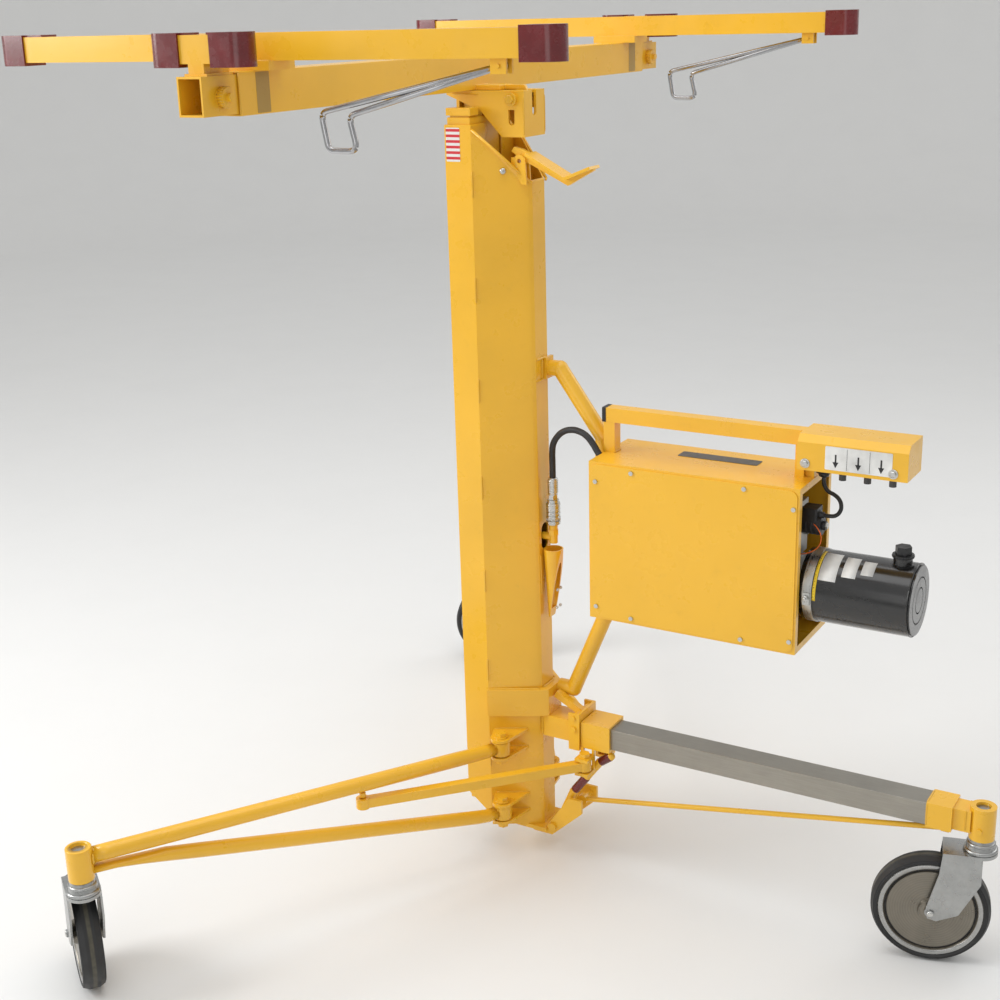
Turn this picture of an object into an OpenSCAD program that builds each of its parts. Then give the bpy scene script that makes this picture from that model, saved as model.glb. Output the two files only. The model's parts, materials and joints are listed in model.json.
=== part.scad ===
// Hydraulic drywall lift: three-section mast on a folding three-caster base,
// a tilting cradle with two outriggers, and a side-mounted electric power unit.
// The model is built about the mast's axis, with the rear leg along +X.

/* [Mast] */
// Width of the outer mast section, along X
mast_x = 54; // [50:1:60]
// Depth of the outer mast section, along Y
mast_y = 154; // [140:2:160]
// Height of the outer mast section's upper end
mast_top = 1425; // [1400:5:1440]
// Wall of the outer mast section
mast_wall = 3; // [2.5:0.5:3]
// Wall of the two sliding sections
slide_wall = 2.5; // [2:0.5:2.5]
// Gap on each side between one mast section and the next
slide_gap = 1; // [0.5:0.25:1]
// How far the cylinder housing stands out behind the mast
housing_x = 89; // [85:1:95]
// Height of the housing's open top, at its front
housing_top = 1417; // [1400:1:1420]

/* [Cylinder] */
// Outer radius of the cylinder barrel
barrel_r = 27; // [24:0.5:28]
// Radius of the cylinder rod
rod_r = 14; // [12:0.5:15]

/* [Base] */
// Distance from the mast's axis to the rear caster's axis
rear_socket_x = 958; // [940:1:970]
// Distance behind the mast's axis of a front leg's hinge
hinge_x = 64; // [60:1:70]
// Distance beside the mast's axis of a front leg's hinge
hinge_y = 98; // [96:1:104]
// Length of a front leg, from its hinge to its caster's axis
leg_len = 825; // [800:5:840]
// Angle between the near front leg and the rear leg's line
near_leg_angle = 61.7; // [58:0.1:64]
// Angle between the far front leg and the rear leg's line
far_leg_angle = 57; // [56:0.1:64]
// Height of a caster socket's lower end
socket_z = 246; // [244:1:248]
// Height of a caster socket
socket_h = 60; // [56:1:64]
// Width of the rear leg's tube
rear_tube_w = 50; // [46:1:50]
// Height of the rear leg's tube
rear_tube_h = 42; // [38:1:42]

/* [Casters] */
// Radius of a caster wheel
wheel_r = 101.6; // [100:0.1:102]
// Width of a caster wheel's tyre
wheel_w = 40; // [34:1:42]
// Distance of the wheel's axle from the swivel axis
trail = 76; // [70:1:80]
// Radius of a caster's stem
stem_r = 12.7; // [11:0.1:13]
// Direction in which the rear caster trails
rear_caster_turn = 195; // [0:1:359]
// Direction in which the near front caster trails
near_caster_turn = 143; // [0:1:359]
// Direction in which the far front caster trails
far_caster_turn = 205; // [180:1:270]

/* [Cradle] */
// Height of the cradle's resting faces
cradle_top = 1595; // [1590:1:1600]
// Half the length of a cross arm, with its caps
arm_half = 502; // [480:2:512]
// Distance of a cross arm from the mast's axis
arm_y = 596; // [580:2:610]
// Side of the square cross arm tube
arm_tube = 38.1; // [36:0.1:40]
// Width of the crossbeam
beam_w = 50.8; // [48:0.1:52]
// Height of the crossbeam
beam_h = 60.5; // [58:0.5:61]
// Half the length of the crossbeam
beam_half = 661; // [640:1:680]
// Distance of the outriggers' short arms from the mast's axis
outrigger_y = 700; // [690:1:710]
// Length of an outrigger's short arm, with its caps
outrigger_len = 172; // [160:2:190]
// Radius of the hooks' wire
hook_r = 4.5; // [4:0.25:5]

/* [Power unit] */
// Length of the power unit's case
case_x = 392; // [380:2:400]
// Depth of the case
case_y = 160; // [150:2:170]
// Height of the case
case_z = 298; // [290:2:300]
// Sheet thickness of the case
case_wall = 2; // [1.5:0.25:2.5]
// Radius of the oil tank
tank_r = 63; // [58:1:65]
// Length of the oil tank
tank_len = 190; // [170:5:200]
// Outer diameter of the hydraulic hose
hose_d = 12; // [10:0.5:13]
// Diameter of the control cable
cable_d = 7; // [5:0.5:8]

/* [Hidden] */
$fn = 48;

paint = "gold";
steel = "silver";
maroon = "#5a1e20";
fit = 0.05;
eye_gap = 1.5;

// The model stands with the middle of its footprint at the origin.
socket_r = 22;
crown_r = 29;
near_tip = [hinge_x - leg_len * cos(near_leg_angle), -hinge_y - leg_len * sin(near_leg_angle)];
far_tip = [hinge_x - leg_len * cos(far_leg_angle), hinge_y + leg_len * sin(far_leg_angle)];
tread_half = 9;
rim_r = 89;
far_wheel_reach = wheel_r * abs(cos(far_caster_turn)) + tread_half * abs(sin(far_caster_turn));
reach_front = far_tip[0] + trail * cos(far_caster_turn) - far_wheel_reach;
centre_x = (rear_socket_x + crown_r + reach_front) / 2;
centre_y = (near_tip[1] + far_tip[1]) / 2;

mx = mast_x / 2;
my = mast_y / 2;
mast_bottom = 79;
housing_end = mx + housing_x;
housing_slope = 92;
cyl_x = 70;
barrel_top = 1170;
ram_head_z = 1185;
sheave_z = 1240;
sheave_x = 48;

mid_x = mx - mast_wall - slide_gap;
mid_y = my - mast_wall - slide_gap;
in_x = mid_x - slide_wall - slide_gap;
in_y = mid_y - slide_wall - slide_gap;
side_pivot_z = 1455;
tilt_x = 88;
tilt_z = 1466;
head_top = 1480;

hinge_pin_r = 7;
upper_z = 250;
lower_z = 111;
eye_h = 28;
link_len = 435;
link_z = 224;
link_h = 20;
sleeve_x = 205;
sleeve_len = 60;
sleeve_pin = [sleeve_x + 14, -45];
rear_z = 279;
foot_eye = [192, 122];
foot_pivot = [142, 66];
latch_pivot = [100, 1362];

beam_x = -18;
arm_mid = beam_x + 7;
beam_z = head_top + 0.5;
tube_gap = 0.3;
out_w = beam_w - 6 - 2 * tube_gap;
cap_lip = 3;
arm_z = cradle_top - cap_lip - arm_tube;
cap_len = 54;
hook_x = 395;
hook_z = 1544;

case_left = 248;
case_front = -73;
case_bottom = 549;
case_right = case_left + case_x;
case_top = case_bottom + case_z;
tank_y = 5;
tank_z = 655;
tank_x = case_right - 4;
head_x = 622;
head_len = 186;
head_z = 872;
button_x = [696, 738, 780];
coupler_x = 135;
button_y = -28;

// Routes of the two cords, about the mast's axis.
hose_route = [[135, 0, 779], [135, 0, 795], [135, 0, 811], [135, 0, 828], [138, -1, 846],
  [147, -2, 861], [161, -4, 873], [178, -6, 879], [196, -9, 879], [213, -12, 873],
  [227, -15, 861], [238, -18, 848], [248, -20, 836]];
cable_route = [[655, 0, 852], [655, 0, 843], [658, 0, 833], [665, -1, 826], [675, -2, 822],
  [684, -4, 816], [689, -6, 806], [688, -8, 796], [681, -9, 788], [671, -10, 786],
  [661, -10, 786], [652, -10, 786]];

// ---- helpers ----

module place() { translate([-centre_x, -centre_y, 0]) children(); }

module both_sides() {
  children();
  mirror([0, 1, 0]) children();
}

// Turns +Z onto the line from p to q.
module along(p, q) {
  v = q - p;
  translate(p) rotate([0, acos(v[2] / norm(v)), atan2(v[1], v[0])]) children();
}

module round_bar(p, q, r) { along(p, q) cylinder(h = norm(q - p), r = r); }

// Rectangular bar from p to q, h high and w wide.
module flat_bar(p, q, w, h) {
  along(p, q) translate([-h / 2, -w / 2, 0]) cube([h, w, norm(q - p)]);
}

// Plate in the XZ plane from y0 to y1.
module side_plate(points, y0, y1) {
  translate([0, y1, 0]) rotate([90, 0, 0]) linear_extrude(y1 - y0) polygon(points);
}

module y_cyl(x, z, y0, y1, r) {
  translate([x, y0, z]) rotate([-90, 0, 0]) cylinder(h = y1 - y0, r = r);
}

module x_cyl(y, z, x0, x1, r) {
  translate([x0, y, z]) rotate([0, 90, 0]) cylinder(h = x1 - x0, r = r);
}

module box(lo, hi) { translate(lo) cube(hi - lo); }

module hex_head(r, h) { cylinder(h = h, r = r, $fn = 6); }

// Rectangular mast section, open at both ends.
module section(hx, hy, wall, z0, z1) {
  difference() {
    box([-hx, -hy, z0], [hx, hy, z1]);
    box([-hx + wall, -hy + wall, z0 - 1], [hx - wall, hy - wall, z1 + 1]);
  }
}

function unit(v) = v / norm(v);
function route_dir(r, i) =
  unit(r[min(i + 1, len(r) - 1)] - r[max(i - 1, 0)]);
// Cord of diameter d through the points of a route, as one closed skin.
module cord(route, d, sides) {
  n = len(route);
  rings = [for (i = [0:n - 1])
    let (t = route_dir(route, i), a = unit(cross([0, 1, 0], t)), b = cross(t, a))
    for (k = [0:sides - 1])
      route[i] + d / 2 * (cos(360 * k / sides) * a + sin(360 * k / sides) * b)];
  walls = [for (i = [0:n - 2], k = [0:sides - 1])
    let (m = (k + 1) % sides)
    [i * sides + k, (i + 1) * sides + k, (i + 1) * sides + m, i * sides + m]];
  first = [for (k = [0:sides - 1]) k];
  last = [for (k = [sides - 1:-1:0]) (n - 1) * sides + k];
  polyhedron(rings, concat(walls, [first], [last]));
}

// ---- mast ----

module mast_channel() color(paint) place() difference() {
  section(mx, my, mast_wall, mast_bottom, mast_top);
  box([mx - mast_wall - 1, -mx, 1140], [mx + 1, mx, mast_top + 1]);
  side_plate([[-mx - 1, mast_bottom - 1], [mx, mast_bottom - 1], [mx, mast_bottom],
    [-mx - 1, mast_bottom + 44]], -my - 1, my + 1);
}

module housing_outline(t) {
  e = housing_end - t;
  polygon([[mx - (t > 0 ? 1 : 0), -my + t * 1.15], [e - 6, -29 + t * 1.1], [e, -22 + t * 0.5],
    [e, 22 - t * 0.5], [e - 6, 29 - t * 1.1], [mx - (t > 0 ? 1 : 0), my - t * 1.15]]);
}

// Ear plate for a front leg's hinge, welded to the housing's slanted side.
module hinge_ear(z) {
  translate([0, 0, z]) difference() {
    linear_extrude(6) union() {
      polygon([[33.3, -71.6], [93.3, -37], [hinge_x + 20, -hinge_y], [hinge_x, -hinge_y - 10],
        [hinge_x - 20, -hinge_y]]);
      translate([hinge_x, -hinge_y]) circle(20);
    }
    translate([hinge_x, -hinge_y, -1]) cylinder(h = 8, r = hinge_pin_r + fit);
  }
}

module cylinder_housing() color(paint) place() {
  difference() {
    translate([0, 0, 60]) linear_extrude(housing_top - 60) housing_outline(0);
    translate([0, 0, 66]) linear_extrude(housing_top) housing_outline(3);
    side_plate([[mx - 1, housing_top + 1], [mx, housing_top],
      [housing_end, housing_top - housing_slope], [housing_end + 1, housing_top - housing_slope],
      [housing_end + 1, housing_top + 1]], -my - 1, my + 1);
    x_cyl(0, 650, housing_end - 8, housing_end + 1, 13);
    x_cyl(0, 676, housing_end - 8, housing_end + 1, 13);
    box([housing_end - 8, -13, 650], [housing_end + 1, 13, 676]);
  }
  both_sides() for (z = [266, 228, 126, 90]) hinge_ear(z);
  latch_ear(-39);
  latch_ear(-25);
}

module latch_ear(y0) difference() {
  union() {
    side_plate([[84, 1352], [84, 1368], [112, 1368], [114, 1322], [104, 1322]], y0, y0 + 4);
    y_cyl(latch_pivot[0], latch_pivot[1], y0, y0 + 4, 11);
  }
  y_cyl(latch_pivot[0], latch_pivot[1], y0 - 1, y0 + 5, 4);
}

module base_collar() color(paint) place() difference() {
  translate([0, 0, 301]) linear_extrude(56) polygon([[mx, -my - 6], [housing_end, -31 - 6],
    [housing_end + 16, -26], [housing_end + 16, 26], [housing_end, 37], [mx, my + 6]]);
  translate([0, 0, 300]) linear_extrude(58) housing_outline(0);
  box([mx - 1, -my, 300], [mx + 1, my, 358]);
}

module mast_foot() color(paint) place() {
  box([mx - 8, -42, 52], [130, 42, 60]);
  both_sides() side_plate([[88, 52], [100, 46], [140, 46], [206, 108], [206, 136],
    [178, 136], [126, 60], [88, 60]], 30, 36);
  y_cyl(foot_eye[0], foot_eye[1], 6, 39, 5);
  y_cyl(foot_pivot[0], foot_pivot[1], -40, -9, 4);
  y_cyl(foot_pivot[0], foot_pivot[1], -42, -36, 8);
  y_cyl(108, 53, -39, -30, 5);
}

module leg_hinge_pins() color(paint) place() both_sides() for (z = [upper_z, lower_z]) {
  translate([hinge_x, -hinge_y, z - 24]) cylinder(h = 48, r = hinge_pin_r);
  translate([hinge_x, -hinge_y, z + 22]) cylinder(h = 3, r = 14);
  translate([hinge_x, -hinge_y, z + 25]) hex_head(11, 7);
  translate([hinge_x, -hinge_y, z - 32]) hex_head(11, 10);
}

// ---- rear leg ----

module rear_leg_root() color(paint) place() {
  hw = rear_tube_w / 2 + 1;
  hh = rear_tube_h / 2 + 1;
  box([housing_end, -hw, rear_z - hh], [199, hw, rear_z + hh]);
  difference() {
    box([180, -36, 246], [203, 36, 322]);
    box([179, -31, 245], [198, 31, 256]);
    box([179, -31, 304], [198, 31, 323]);
  }
  flat_bar([136.4, 0, 341], [200, 0, 308], 14, 14);
  y_cyl(191, 290, -40, -36, 6);
  y_cyl(190, 313, -39, 39, 5);
}

module rear_leg_tube() color("#77756f") place() difference() {
  box([203, -rear_tube_w / 2, rear_z - rear_tube_h / 2],
    [868, rear_tube_w / 2, rear_z + rear_tube_h / 2]);
  box([202, -rear_tube_w / 2 + 3, rear_z - rear_tube_h / 2 + 3],
    [869, rear_tube_w / 2 - 3, rear_z + rear_tube_h / 2 - 3]);
}

module caster_socket() difference() {
  translate([0, 0, socket_z]) cylinder(h = socket_h, r = socket_r);
  translate([0, 0, socket_z - 1]) cylinder(h = socket_h + 2, r = stem_r + fit);
}

module rear_leg_end() color(paint) place() {
  difference() {
    union() {
      box([868, -27, rear_z - 23], [912, 27, rear_z + 23]);
      box([911, -20, rear_z - 20], [942, 20, rear_z + 20]);
    }
    translate([rear_socket_x, 0, socket_z - 1]) cylinder(h = socket_h + 2, r = socket_r - 1);
  }
  translate([rear_socket_x, 0, 0]) caster_socket();
  y_cyl(rear_socket_x, rear_z - 12, -socket_r - 3, -socket_r + 2, 5);
}

module tie_rod() color(paint) place() {
  round_bar([foot_eye[0], 0, foot_eye[1]], [898, 0, 248], 5);
  y_cyl(foot_eye[0], foot_eye[1], -6, 6, 10);
  box([890, -5, 242], [904, 5, rear_z - 23]);
}

// ---- lifting cylinder and its feed ----

module cylinder_barrel() color("dimgray") place() translate([cyl_x, 0, 0]) difference() {
  union() {
    translate([0, 0, 110]) cylinder(h = barrel_top - 110, r = barrel_r);
    translate([0, 0, 66]) cylinder(h = 44, r = 16);
    translate([0, 0, barrel_top - 20]) cylinder(h = 28, r = 31);
  }
  translate([0, 0, 122]) cylinder(h = barrel_top - 142, r = barrel_r - 5);
  translate([0, 0, 122]) cylinder(h = barrel_top, r = rod_r + fit);
}

module cylinder_rod() color("gainsboro") place() {
  translate([cyl_x, 0, 146]) cylinder(h = ram_head_z - 146, r = rod_r);
  translate([cyl_x, 0, 126]) cylinder(h = 20, r = barrel_r - 5 - fit);
  difference() {
    box([mid_x, -18, ram_head_z], [cyl_x + 17, 18, ram_head_z + 30]);
    box([mid_x - 1, -7, ram_head_z + 15], [cyl_x - 8, 7, ram_head_z + 31]);
  }
  both_sides() difference() {
    side_plate([[mid_x + 4, ram_head_z + 30], [sheave_x + 18, ram_head_z + 30],
      [sheave_x + 12, sheave_z + 14], [sheave_x - 12, sheave_z + 14]], 8, 12);
    y_cyl(sheave_x, sheave_z, 7, 13, 3);
  }
  y_cyl(sheave_x, sheave_z, -14, 14, 4);
}

module lift_sheave() color("slategray") place() translate([sheave_x, -6, sheave_z])
  rotate([-90, 0, 0]) rotate_extrude() polygon([[4 + fit, 0], [21, 0], [16, 4], [16, 8],
    [21, 12], [4 + fit, 12]]);

module feed_fitting() color(paint) place() {
  x_cyl(0, 663, cyl_x + barrel_r, coupler_x, 7);
  difference() {
    translate([coupler_x, 0, 652]) cylinder(h = 38, r = 8);
    translate([coupler_x, 0, 680]) cylinder(h = 11, r = 6);
  }
  translate([coupler_x, 0, 668]) hex_head(10, 10);
}

module coupler_guard() color(paint) place() difference() {
  linear_guard();
  translate([0, 0, 520]) cylinder_guard_core();
}

// Tapered half-round shield below the coupling.
module linear_guard() intersection() {
  translate([housing_end + 18, 0, 500]) cylinder(h = 140, r1 = 11, r2 = 19);
  side_plate([[housing_end, 502], [housing_end + 14, 502], [housing_end + 37, 640],
    [housing_end, 640]], -30, 30);
}

module cylinder_guard_core() translate([housing_end + 18, 0, 0])
  cylinder(h = 125, r1 = 9, r2 = 16.5);

module quick_coupler() color(steel) place() translate([coupler_x, 0, 0]) {
  difference() {
    translate([0, 0, 690]) cylinder(h = 42, r = 13);
    for (z = [698, 706, 714]) translate([0, 0, z]) rotate_extrude()
      translate([13.5, 0]) circle(1.6, $fn = 16);
  }
  translate([0, 0, 732]) cylinder(h = 6, r = 11);
  translate([0, 0, 738]) hex_head(9, 9);
  translate([0, 0, 747]) cylinder(h = 32, r = 9);
}

module hydraulic_hose() color("#1c1c1c") place() cord(hose_route, hose_d, 12);

// ---- power unit ----

module case_arms() color(paint) place() {
  r = 15;
  y = 23;
  x = case_left - r - 4;
  pts = [[housing_end + 5, y, 984], [142, y, 984], [x, y, 864], [x, y, 506], [162, y, 346],
    [housing_end + 16.1, y, 346]];
  for (i = [0:len(pts) - 2]) round_bar(pts[i], pts[i + 1], r);
  for (i = [1:len(pts) - 2]) translate(pts[i]) sphere(r + 0.4);
  box([housing_end, 6, 966], [housing_end + 6, 34, 1006]);
}

module case_shell() color(paint) place() {
  w = case_wall;
  difference() {
    box([case_left, case_front, case_bottom], [case_right, case_front + case_y, case_top]);
    box([case_left + w, case_front + w, case_bottom + w],
      [case_right + 1, case_front + case_y - w, case_top - w]);
    box([case_left + 14, case_front - 1, case_bottom + 14],
      [case_right - 14, case_front + w + 1, case_top - 14]);
  }
  // flange round the open end
  difference() {
    box([case_right - w, case_front, case_bottom], [case_right, case_front + case_y, case_top]);
    box([case_right - w - 1, case_front + 12, case_bottom + 12],
      [case_right + 1, case_front + case_y - 12, case_top - 12]);
  }
  along([244, -19, 840.5], [252, -20.6, 832]) translate([0, 0, 1]) difference() {
    cylinder(h = 6, r = 11);
    translate([0, 0, -1]) cylinder(h = 6, r = 6.2);
  }
}

module front_cover() color(paint) place() {
  r = 14;
  x0 = case_left + 4;
  x1 = case_right - 4;
  z0 = case_bottom + 4;
  z1 = case_top - 4;
  box([x0, case_front - 2, z0 + r], [x1, case_front, z1 - r]);
  box([x0 + r, case_front - 2, z0], [x1 - r, case_front, z1]);
  for (x = [x0 + r, x1 - r]) for (z = [z0 + r, z1 - r]) y_cyl(x, z, case_front - 2, case_front, r);
}

module cover_screws() color(steel) place() {
  for (p = [[10, 260], [80, 284], [290, 284], [378, 260], [10, 22], [80, 10], [290, 10],
    [378, 22]])
    y_cyl(case_left + p[0] + 4, case_bottom + p[1] + 2, case_front - 4.5, case_front - 2, 4);
  for (x = [head_x + 14, head_x + head_len - 24])
    y_cyl(x, head_z + 12, -47, -44, 5);
}

module carry_handle() color(paint) place() {
  difference() {
    box([243, -8, 903], [head_x, 18, 929]);
    box([242, -5, 906], [head_x + 1, 15, 926]);
  }
  box([245, -7, case_top], [267, 17, 903]);
  box([606, -7, case_top], [621.9, 17, 903]);
}

module control_head() color(paint) place() {
  w = 2;
  profile = [[-44, 0], [-44, 48], [-34, 60], [34, 60], [34, 0]];
  difference() {
    translate([head_x, 0, head_z]) rotate([90, 0, 90]) linear_extrude(head_len) polygon(profile);
    translate([head_x + w, 0, head_z + w]) rotate([90, 0, 90]) linear_extrude(head_len - 2 * w)
      polygon([[-42, 0], [-42, 45], [-33, 56], [32, 56], [32, 0]]);
    for (x = button_x) translate([x, button_y, head_z - 1]) cylinder(h = 4, r = 6.5);
  }
  translate([655, 0, 852]) {
    translate([0, 0, 7]) cylinder(h = 13, r = 13);
    cylinder(h = 7, r = 7);
  }
  box([head_x, 0, case_top], [head_x + 16, 14, head_z]);
}

module push_button(x) color("dimgray") place() translate([x, button_y, head_z - 14]) {
  cylinder(h = 26, r = 6);
  translate([0, 0, 18]) cylinder(h = 3, r = 9);
}
module raise_button() push_button(button_x[0]);
module slow_button() push_button(button_x[1]);
module lower_button() push_button(button_x[2]);

module control_cable() color("#181818") place() cord(cable_route, cable_d, 8);

module motor() color("#33363a") place() {
  x_cyl(tank_y, tank_z, 282, 470, 52);
  x_cyl(tank_y, tank_z, 274, 282, 30);
  box([320, -20, 706], [400, 30, 728]);
}

module pump_block() color("#8d9094") place() {
  box([470, tank_y - 45, tank_z - 50], [600, tank_y + 45, tank_z + 50]);
  x_cyl(tank_y, tank_z, 600, tank_x, 50);
  box([560, tank_y - 40, tank_z + 50], [618, tank_y + 30, 800]);
}

module solenoid_valve() color("#151515") place() {
  x_cyl(-10, 768, 618, 660, 17);
  x_cyl(-10, 768, 660, 666, 8);
  box([628, -24, 776], [652, 4, 798]);
}

module oil_tank() color("#0f0f10") place() {
  x_cyl(tank_y, tank_z, tank_x, tank_x + tank_len - 4, tank_r);
  x_cyl(tank_y, tank_z, tank_x + tank_len - 4, tank_x + tank_len, tank_r - 3);
  translate([795, tank_y, tank_z + tank_r - 6]) cylinder(h = 16, r = 16);
}

module filler_cap() color("#0a0a0a") place() translate([795, tank_y, tank_z + tank_r + 10]) {
  cylinder(h = 5, r = 18);
  translate([0, 0, 5]) hex_head(14, 14);
}

module tank_strap() color(steel) place() difference() {
  union() {
    x_cyl(tank_y, tank_z, tank_x + 8, tank_x + 24, tank_r + 1.5);
    box([tank_x + 10, -62, 640], [tank_x + 22, -54, 662]);
  }
  x_cyl(tank_y, tank_z, tank_x + 7, tank_x + 25, tank_r);
}

// ---- latches ----

module top_latch() color(paint) place() {
  difference() {
    union() {
      y_cyl(latch_pivot[0], latch_pivot[1], -34.6, -25.4, 9);
      side_plate([[82, 1378], [88, 1386], [104, 1382], [192, 1337], [240, 1356], [243, 1349],
        [193, 1322], [100, 1366]], -34.6, -25.4);
    }
    y_cyl(latch_pivot[0], latch_pivot[1], -36, -24, 4 + fit);
  }
  side_plate([[116, 1372], [118, 1377], [192, 1338], [241, 1357], [243, 1352], [192, 1332]],
    -50, -10);
}

module foot_latch() color(paint) place() {
  y = -18;
  pts = [[foot_pivot[0], y, foot_pivot[1]], [158, y, 94], [180, y, 144], [238, y, 222],
    [262, y, 240]];
  difference() {
    union() {
      for (i = [0:len(pts) - 2]) round_bar(pts[i], pts[i + 1], 8);
      for (i = [0:len(pts) - 1]) translate(pts[i]) sphere(8.4);
    }
    y_cyl(foot_pivot[0], foot_pivot[1], y - 9, y + 9, 4 + fit);
  }
}

// ---- sliding sections and head ----

module middle_section() color(paint) place() section(mid_x, mid_y, slide_wall, 108, 1437);

module inner_section() color(paint) place() {
  difference() {
    section(in_x, in_y, slide_wall, 118, 1452);
    box([-in_x - 1, -44, 1405], [in_x + 1, 44, 1460]);
  }
  both_sides() box([-25, 46, 1440], [25, my - 3, 1453]);
  difference() {
    box([-in_x + 1, -24, 1340], [in_x - 1, 24, side_pivot_z + 11]);
    x_cyl(0, side_pivot_z, -in_x - 1, in_x + 1, 8 + fit);
  }
}

module head_block() color(paint) place() {
  cheek = [[-45, head_top], [-45, 1473], [24, 1446], [60, 1408], [66, 1402], [111, 1402],
    [111, head_top]];
  difference() {
    union() {
      both_sides() side_plate(cheek, 32, 37);
      box([-45, -37, 1475], [111, 37, head_top]);
      box([106, -37, 1402], [111, 37, head_top]);
      box([-28, -32, 1443.4], [-22, 32, 1475]);
      box([22, -32, 1443.4], [28, 32, 1475]);
    }
    both_sides() {
      box([80, 31, 1428], [92, 38, 1448]);
      y_cyl(86, 1428, 31, 38, 6);
    }
    box([48, -7, 1474], [112, 7, head_top + 1]);
    box([105, -7, 1444], [112, 7, head_top + 1]);
    x_cyl(0, 1444, 105, 112, 7);
  }
  x_cyl(0, side_pivot_z, -31, 31, 8);
  y_cyl(tilt_x, tilt_z, -42, 42, 6);
  both_sides() y_cyl(tilt_x, tilt_z, 37, 44, 10);
}

// ---- cradle ----

module crossbeam() color(paint) place() {
  x0 = beam_x - beam_w / 2;
  x1 = beam_x + beam_w / 2;
  difference() {
    box([x0, -beam_half, beam_z], [x1, beam_half, beam_z + beam_h]);
    box([x0 + 3, -beam_half - 1, beam_z + 3], [x1 - 3, beam_half + 1, beam_z + beam_h - 3]);
  }
  box([x1, -24, beam_z], [56, 24, beam_z + 8]);
  difference() {
    side_plate([[50, beam_z], [50, beam_z + 8], [94, beam_z + 8], [99, 1480], [98, 1460],
      [92, 1456], [82, 1456], [77, 1464], [76, beam_z]], -4, 4);
    y_cyl(tilt_x, tilt_z, -5, 5, 6 + fit);
  }
}

module hook_clevis(y) {
  for (s = [-1, 1]) box([hook_x - 12, y + s * 8 - 2, hook_z - 10], [hook_x + 12, y + s * 8 + 2,
    arm_z]);
  y_cyl(hook_x, hook_z, y - 12, y + 12, 3);
}

module cross_arms() color(paint) place() {
  for (y = [-arm_y, arm_y]) {
    box([arm_mid - arm_half + cap_len, y - arm_tube / 2, arm_z],
      [arm_mid + arm_half - cap_len, y + arm_tube / 2, arm_z + arm_tube]);
    difference() {
      box([-60, y - 30, beam_z + beam_h], [34, y + 30, arm_z]);
      box([14, y - 24, beam_z + beam_h - 1], [24, y - 4, arm_z + 1]);
      box([14, y + 4, beam_z + beam_h - 1], [24, y + 24, arm_z + 1]);
    }
    hook_clevis(y);
  }
}

// Rounded end cap for a square tube that ends at x = 0; the cap runs to +X.
module end_cap(len, tongue) {
  r = arm_tube / 2 + 3.2;
  low = arm_z - 5;
  difference() {
    union() {
      box([-4, -r, low], [len - r, r, cradle_top]);
      translate([len - r, 0, low]) cylinder(h = cradle_top - low, r = r);
      if (tongue > 0) box([-tongue, -r + 6, cradle_top - cap_lip], [0, r - 6, cradle_top]);
    }
    box([-5, -arm_tube / 2, arm_z], [0, arm_tube / 2, arm_z + arm_tube]);
  }
}

module arm_caps() color(maroon) place() for (y = [-arm_y, arm_y]) {
  translate([arm_mid + arm_half - cap_len, y, 0]) end_cap(cap_len, 0);
  translate([arm_mid - arm_half + cap_len, y, 0]) mirror([1, 0, 0]) end_cap(cap_len, 40);
}

module outrigger() {
  tube_end = beam_half + 75;
  difference() {
    box([beam_x - out_w / 2, 50, beam_z + 3 + tube_gap],
      [beam_x + out_w / 2, tube_end, beam_z + beam_h - 3 - tube_gap]);
    box([beam_x - out_w / 2 + 3, 49, beam_z + 6 + tube_gap],
      [beam_x + out_w / 2 - 3, tube_end + 1, beam_z + beam_h - 6 - tube_gap]);
  }
  box([beam_x - 14, beam_half + 5, beam_z + beam_h - 6 - tube_gap],
    [beam_x + 14, outrigger_y + arm_tube / 2, arm_z]);
  box([beam_x - 20, beam_half + 5, beam_z + beam_h - 3 - tube_gap],
    [beam_x + 20, beam_half + 60, beam_z + beam_h]);
  box([beam_x - outrigger_len / 2 + cap_len, outrigger_y - arm_tube / 2, arm_z],
    [beam_x + outrigger_len / 2 - cap_len, outrigger_y + arm_tube / 2, arm_z + arm_tube]);
  x_cyl(beam_half + 34, beam_z + 28, beam_x + out_w / 2, beam_x + out_w / 2 + 12, 14);
  x_cyl(beam_half + 34, beam_z + 28, beam_x + out_w / 2 + 12, beam_x + out_w / 2 + 18, 6);
}

module outrigger_caps() {
  translate([beam_x + outrigger_len / 2 - cap_len, outrigger_y, 0]) end_cap(cap_len, 12);
  translate([beam_x - outrigger_len / 2 + cap_len, outrigger_y, 0]) mirror([1, 0, 0]) end_cap(cap_len, 12);
}

module far_outrigger() color(paint) place() outrigger();
module near_outrigger() color(paint) place() mirror([0, 1, 0]) outrigger();
module far_outrigger_caps() color(maroon) place() outrigger_caps();
module near_outrigger_caps() color(maroon) place() mirror([0, 1, 0]) outrigger_caps();

// Bent wire hook, stowed along its arm.
module hook(y) {
  pts = [[hook_x, y, hook_z], [98, y, 1482], [108, y, 1430], [158, y, 1430], [146, y, 1478],
    [182, y, 1490]];
  difference() {
    union() {
      for (i = [0:len(pts) - 2]) round_bar(pts[i], pts[i + 1], hook_r);
      for (i = [1:len(pts) - 1]) translate(pts[i]) sphere(hook_r + 0.3);
      y_cyl(hook_x, hook_z, y - 5.6, y + 5.6, 7.5);
    }
    y_cyl(hook_x, hook_z, y - 7, y + 7, 3 + fit);
  }
}

module near_hook() color("white") place() hook(-arm_y);
module far_hook() color("white") place() hook(arm_y);

// ---- folding front legs ----

// Point at distance d along a near-side leg that lies at angle a.
function on_leg(d, z, a) = [hinge_x - d * cos(a), -hinge_y - d * sin(a), z];
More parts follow.
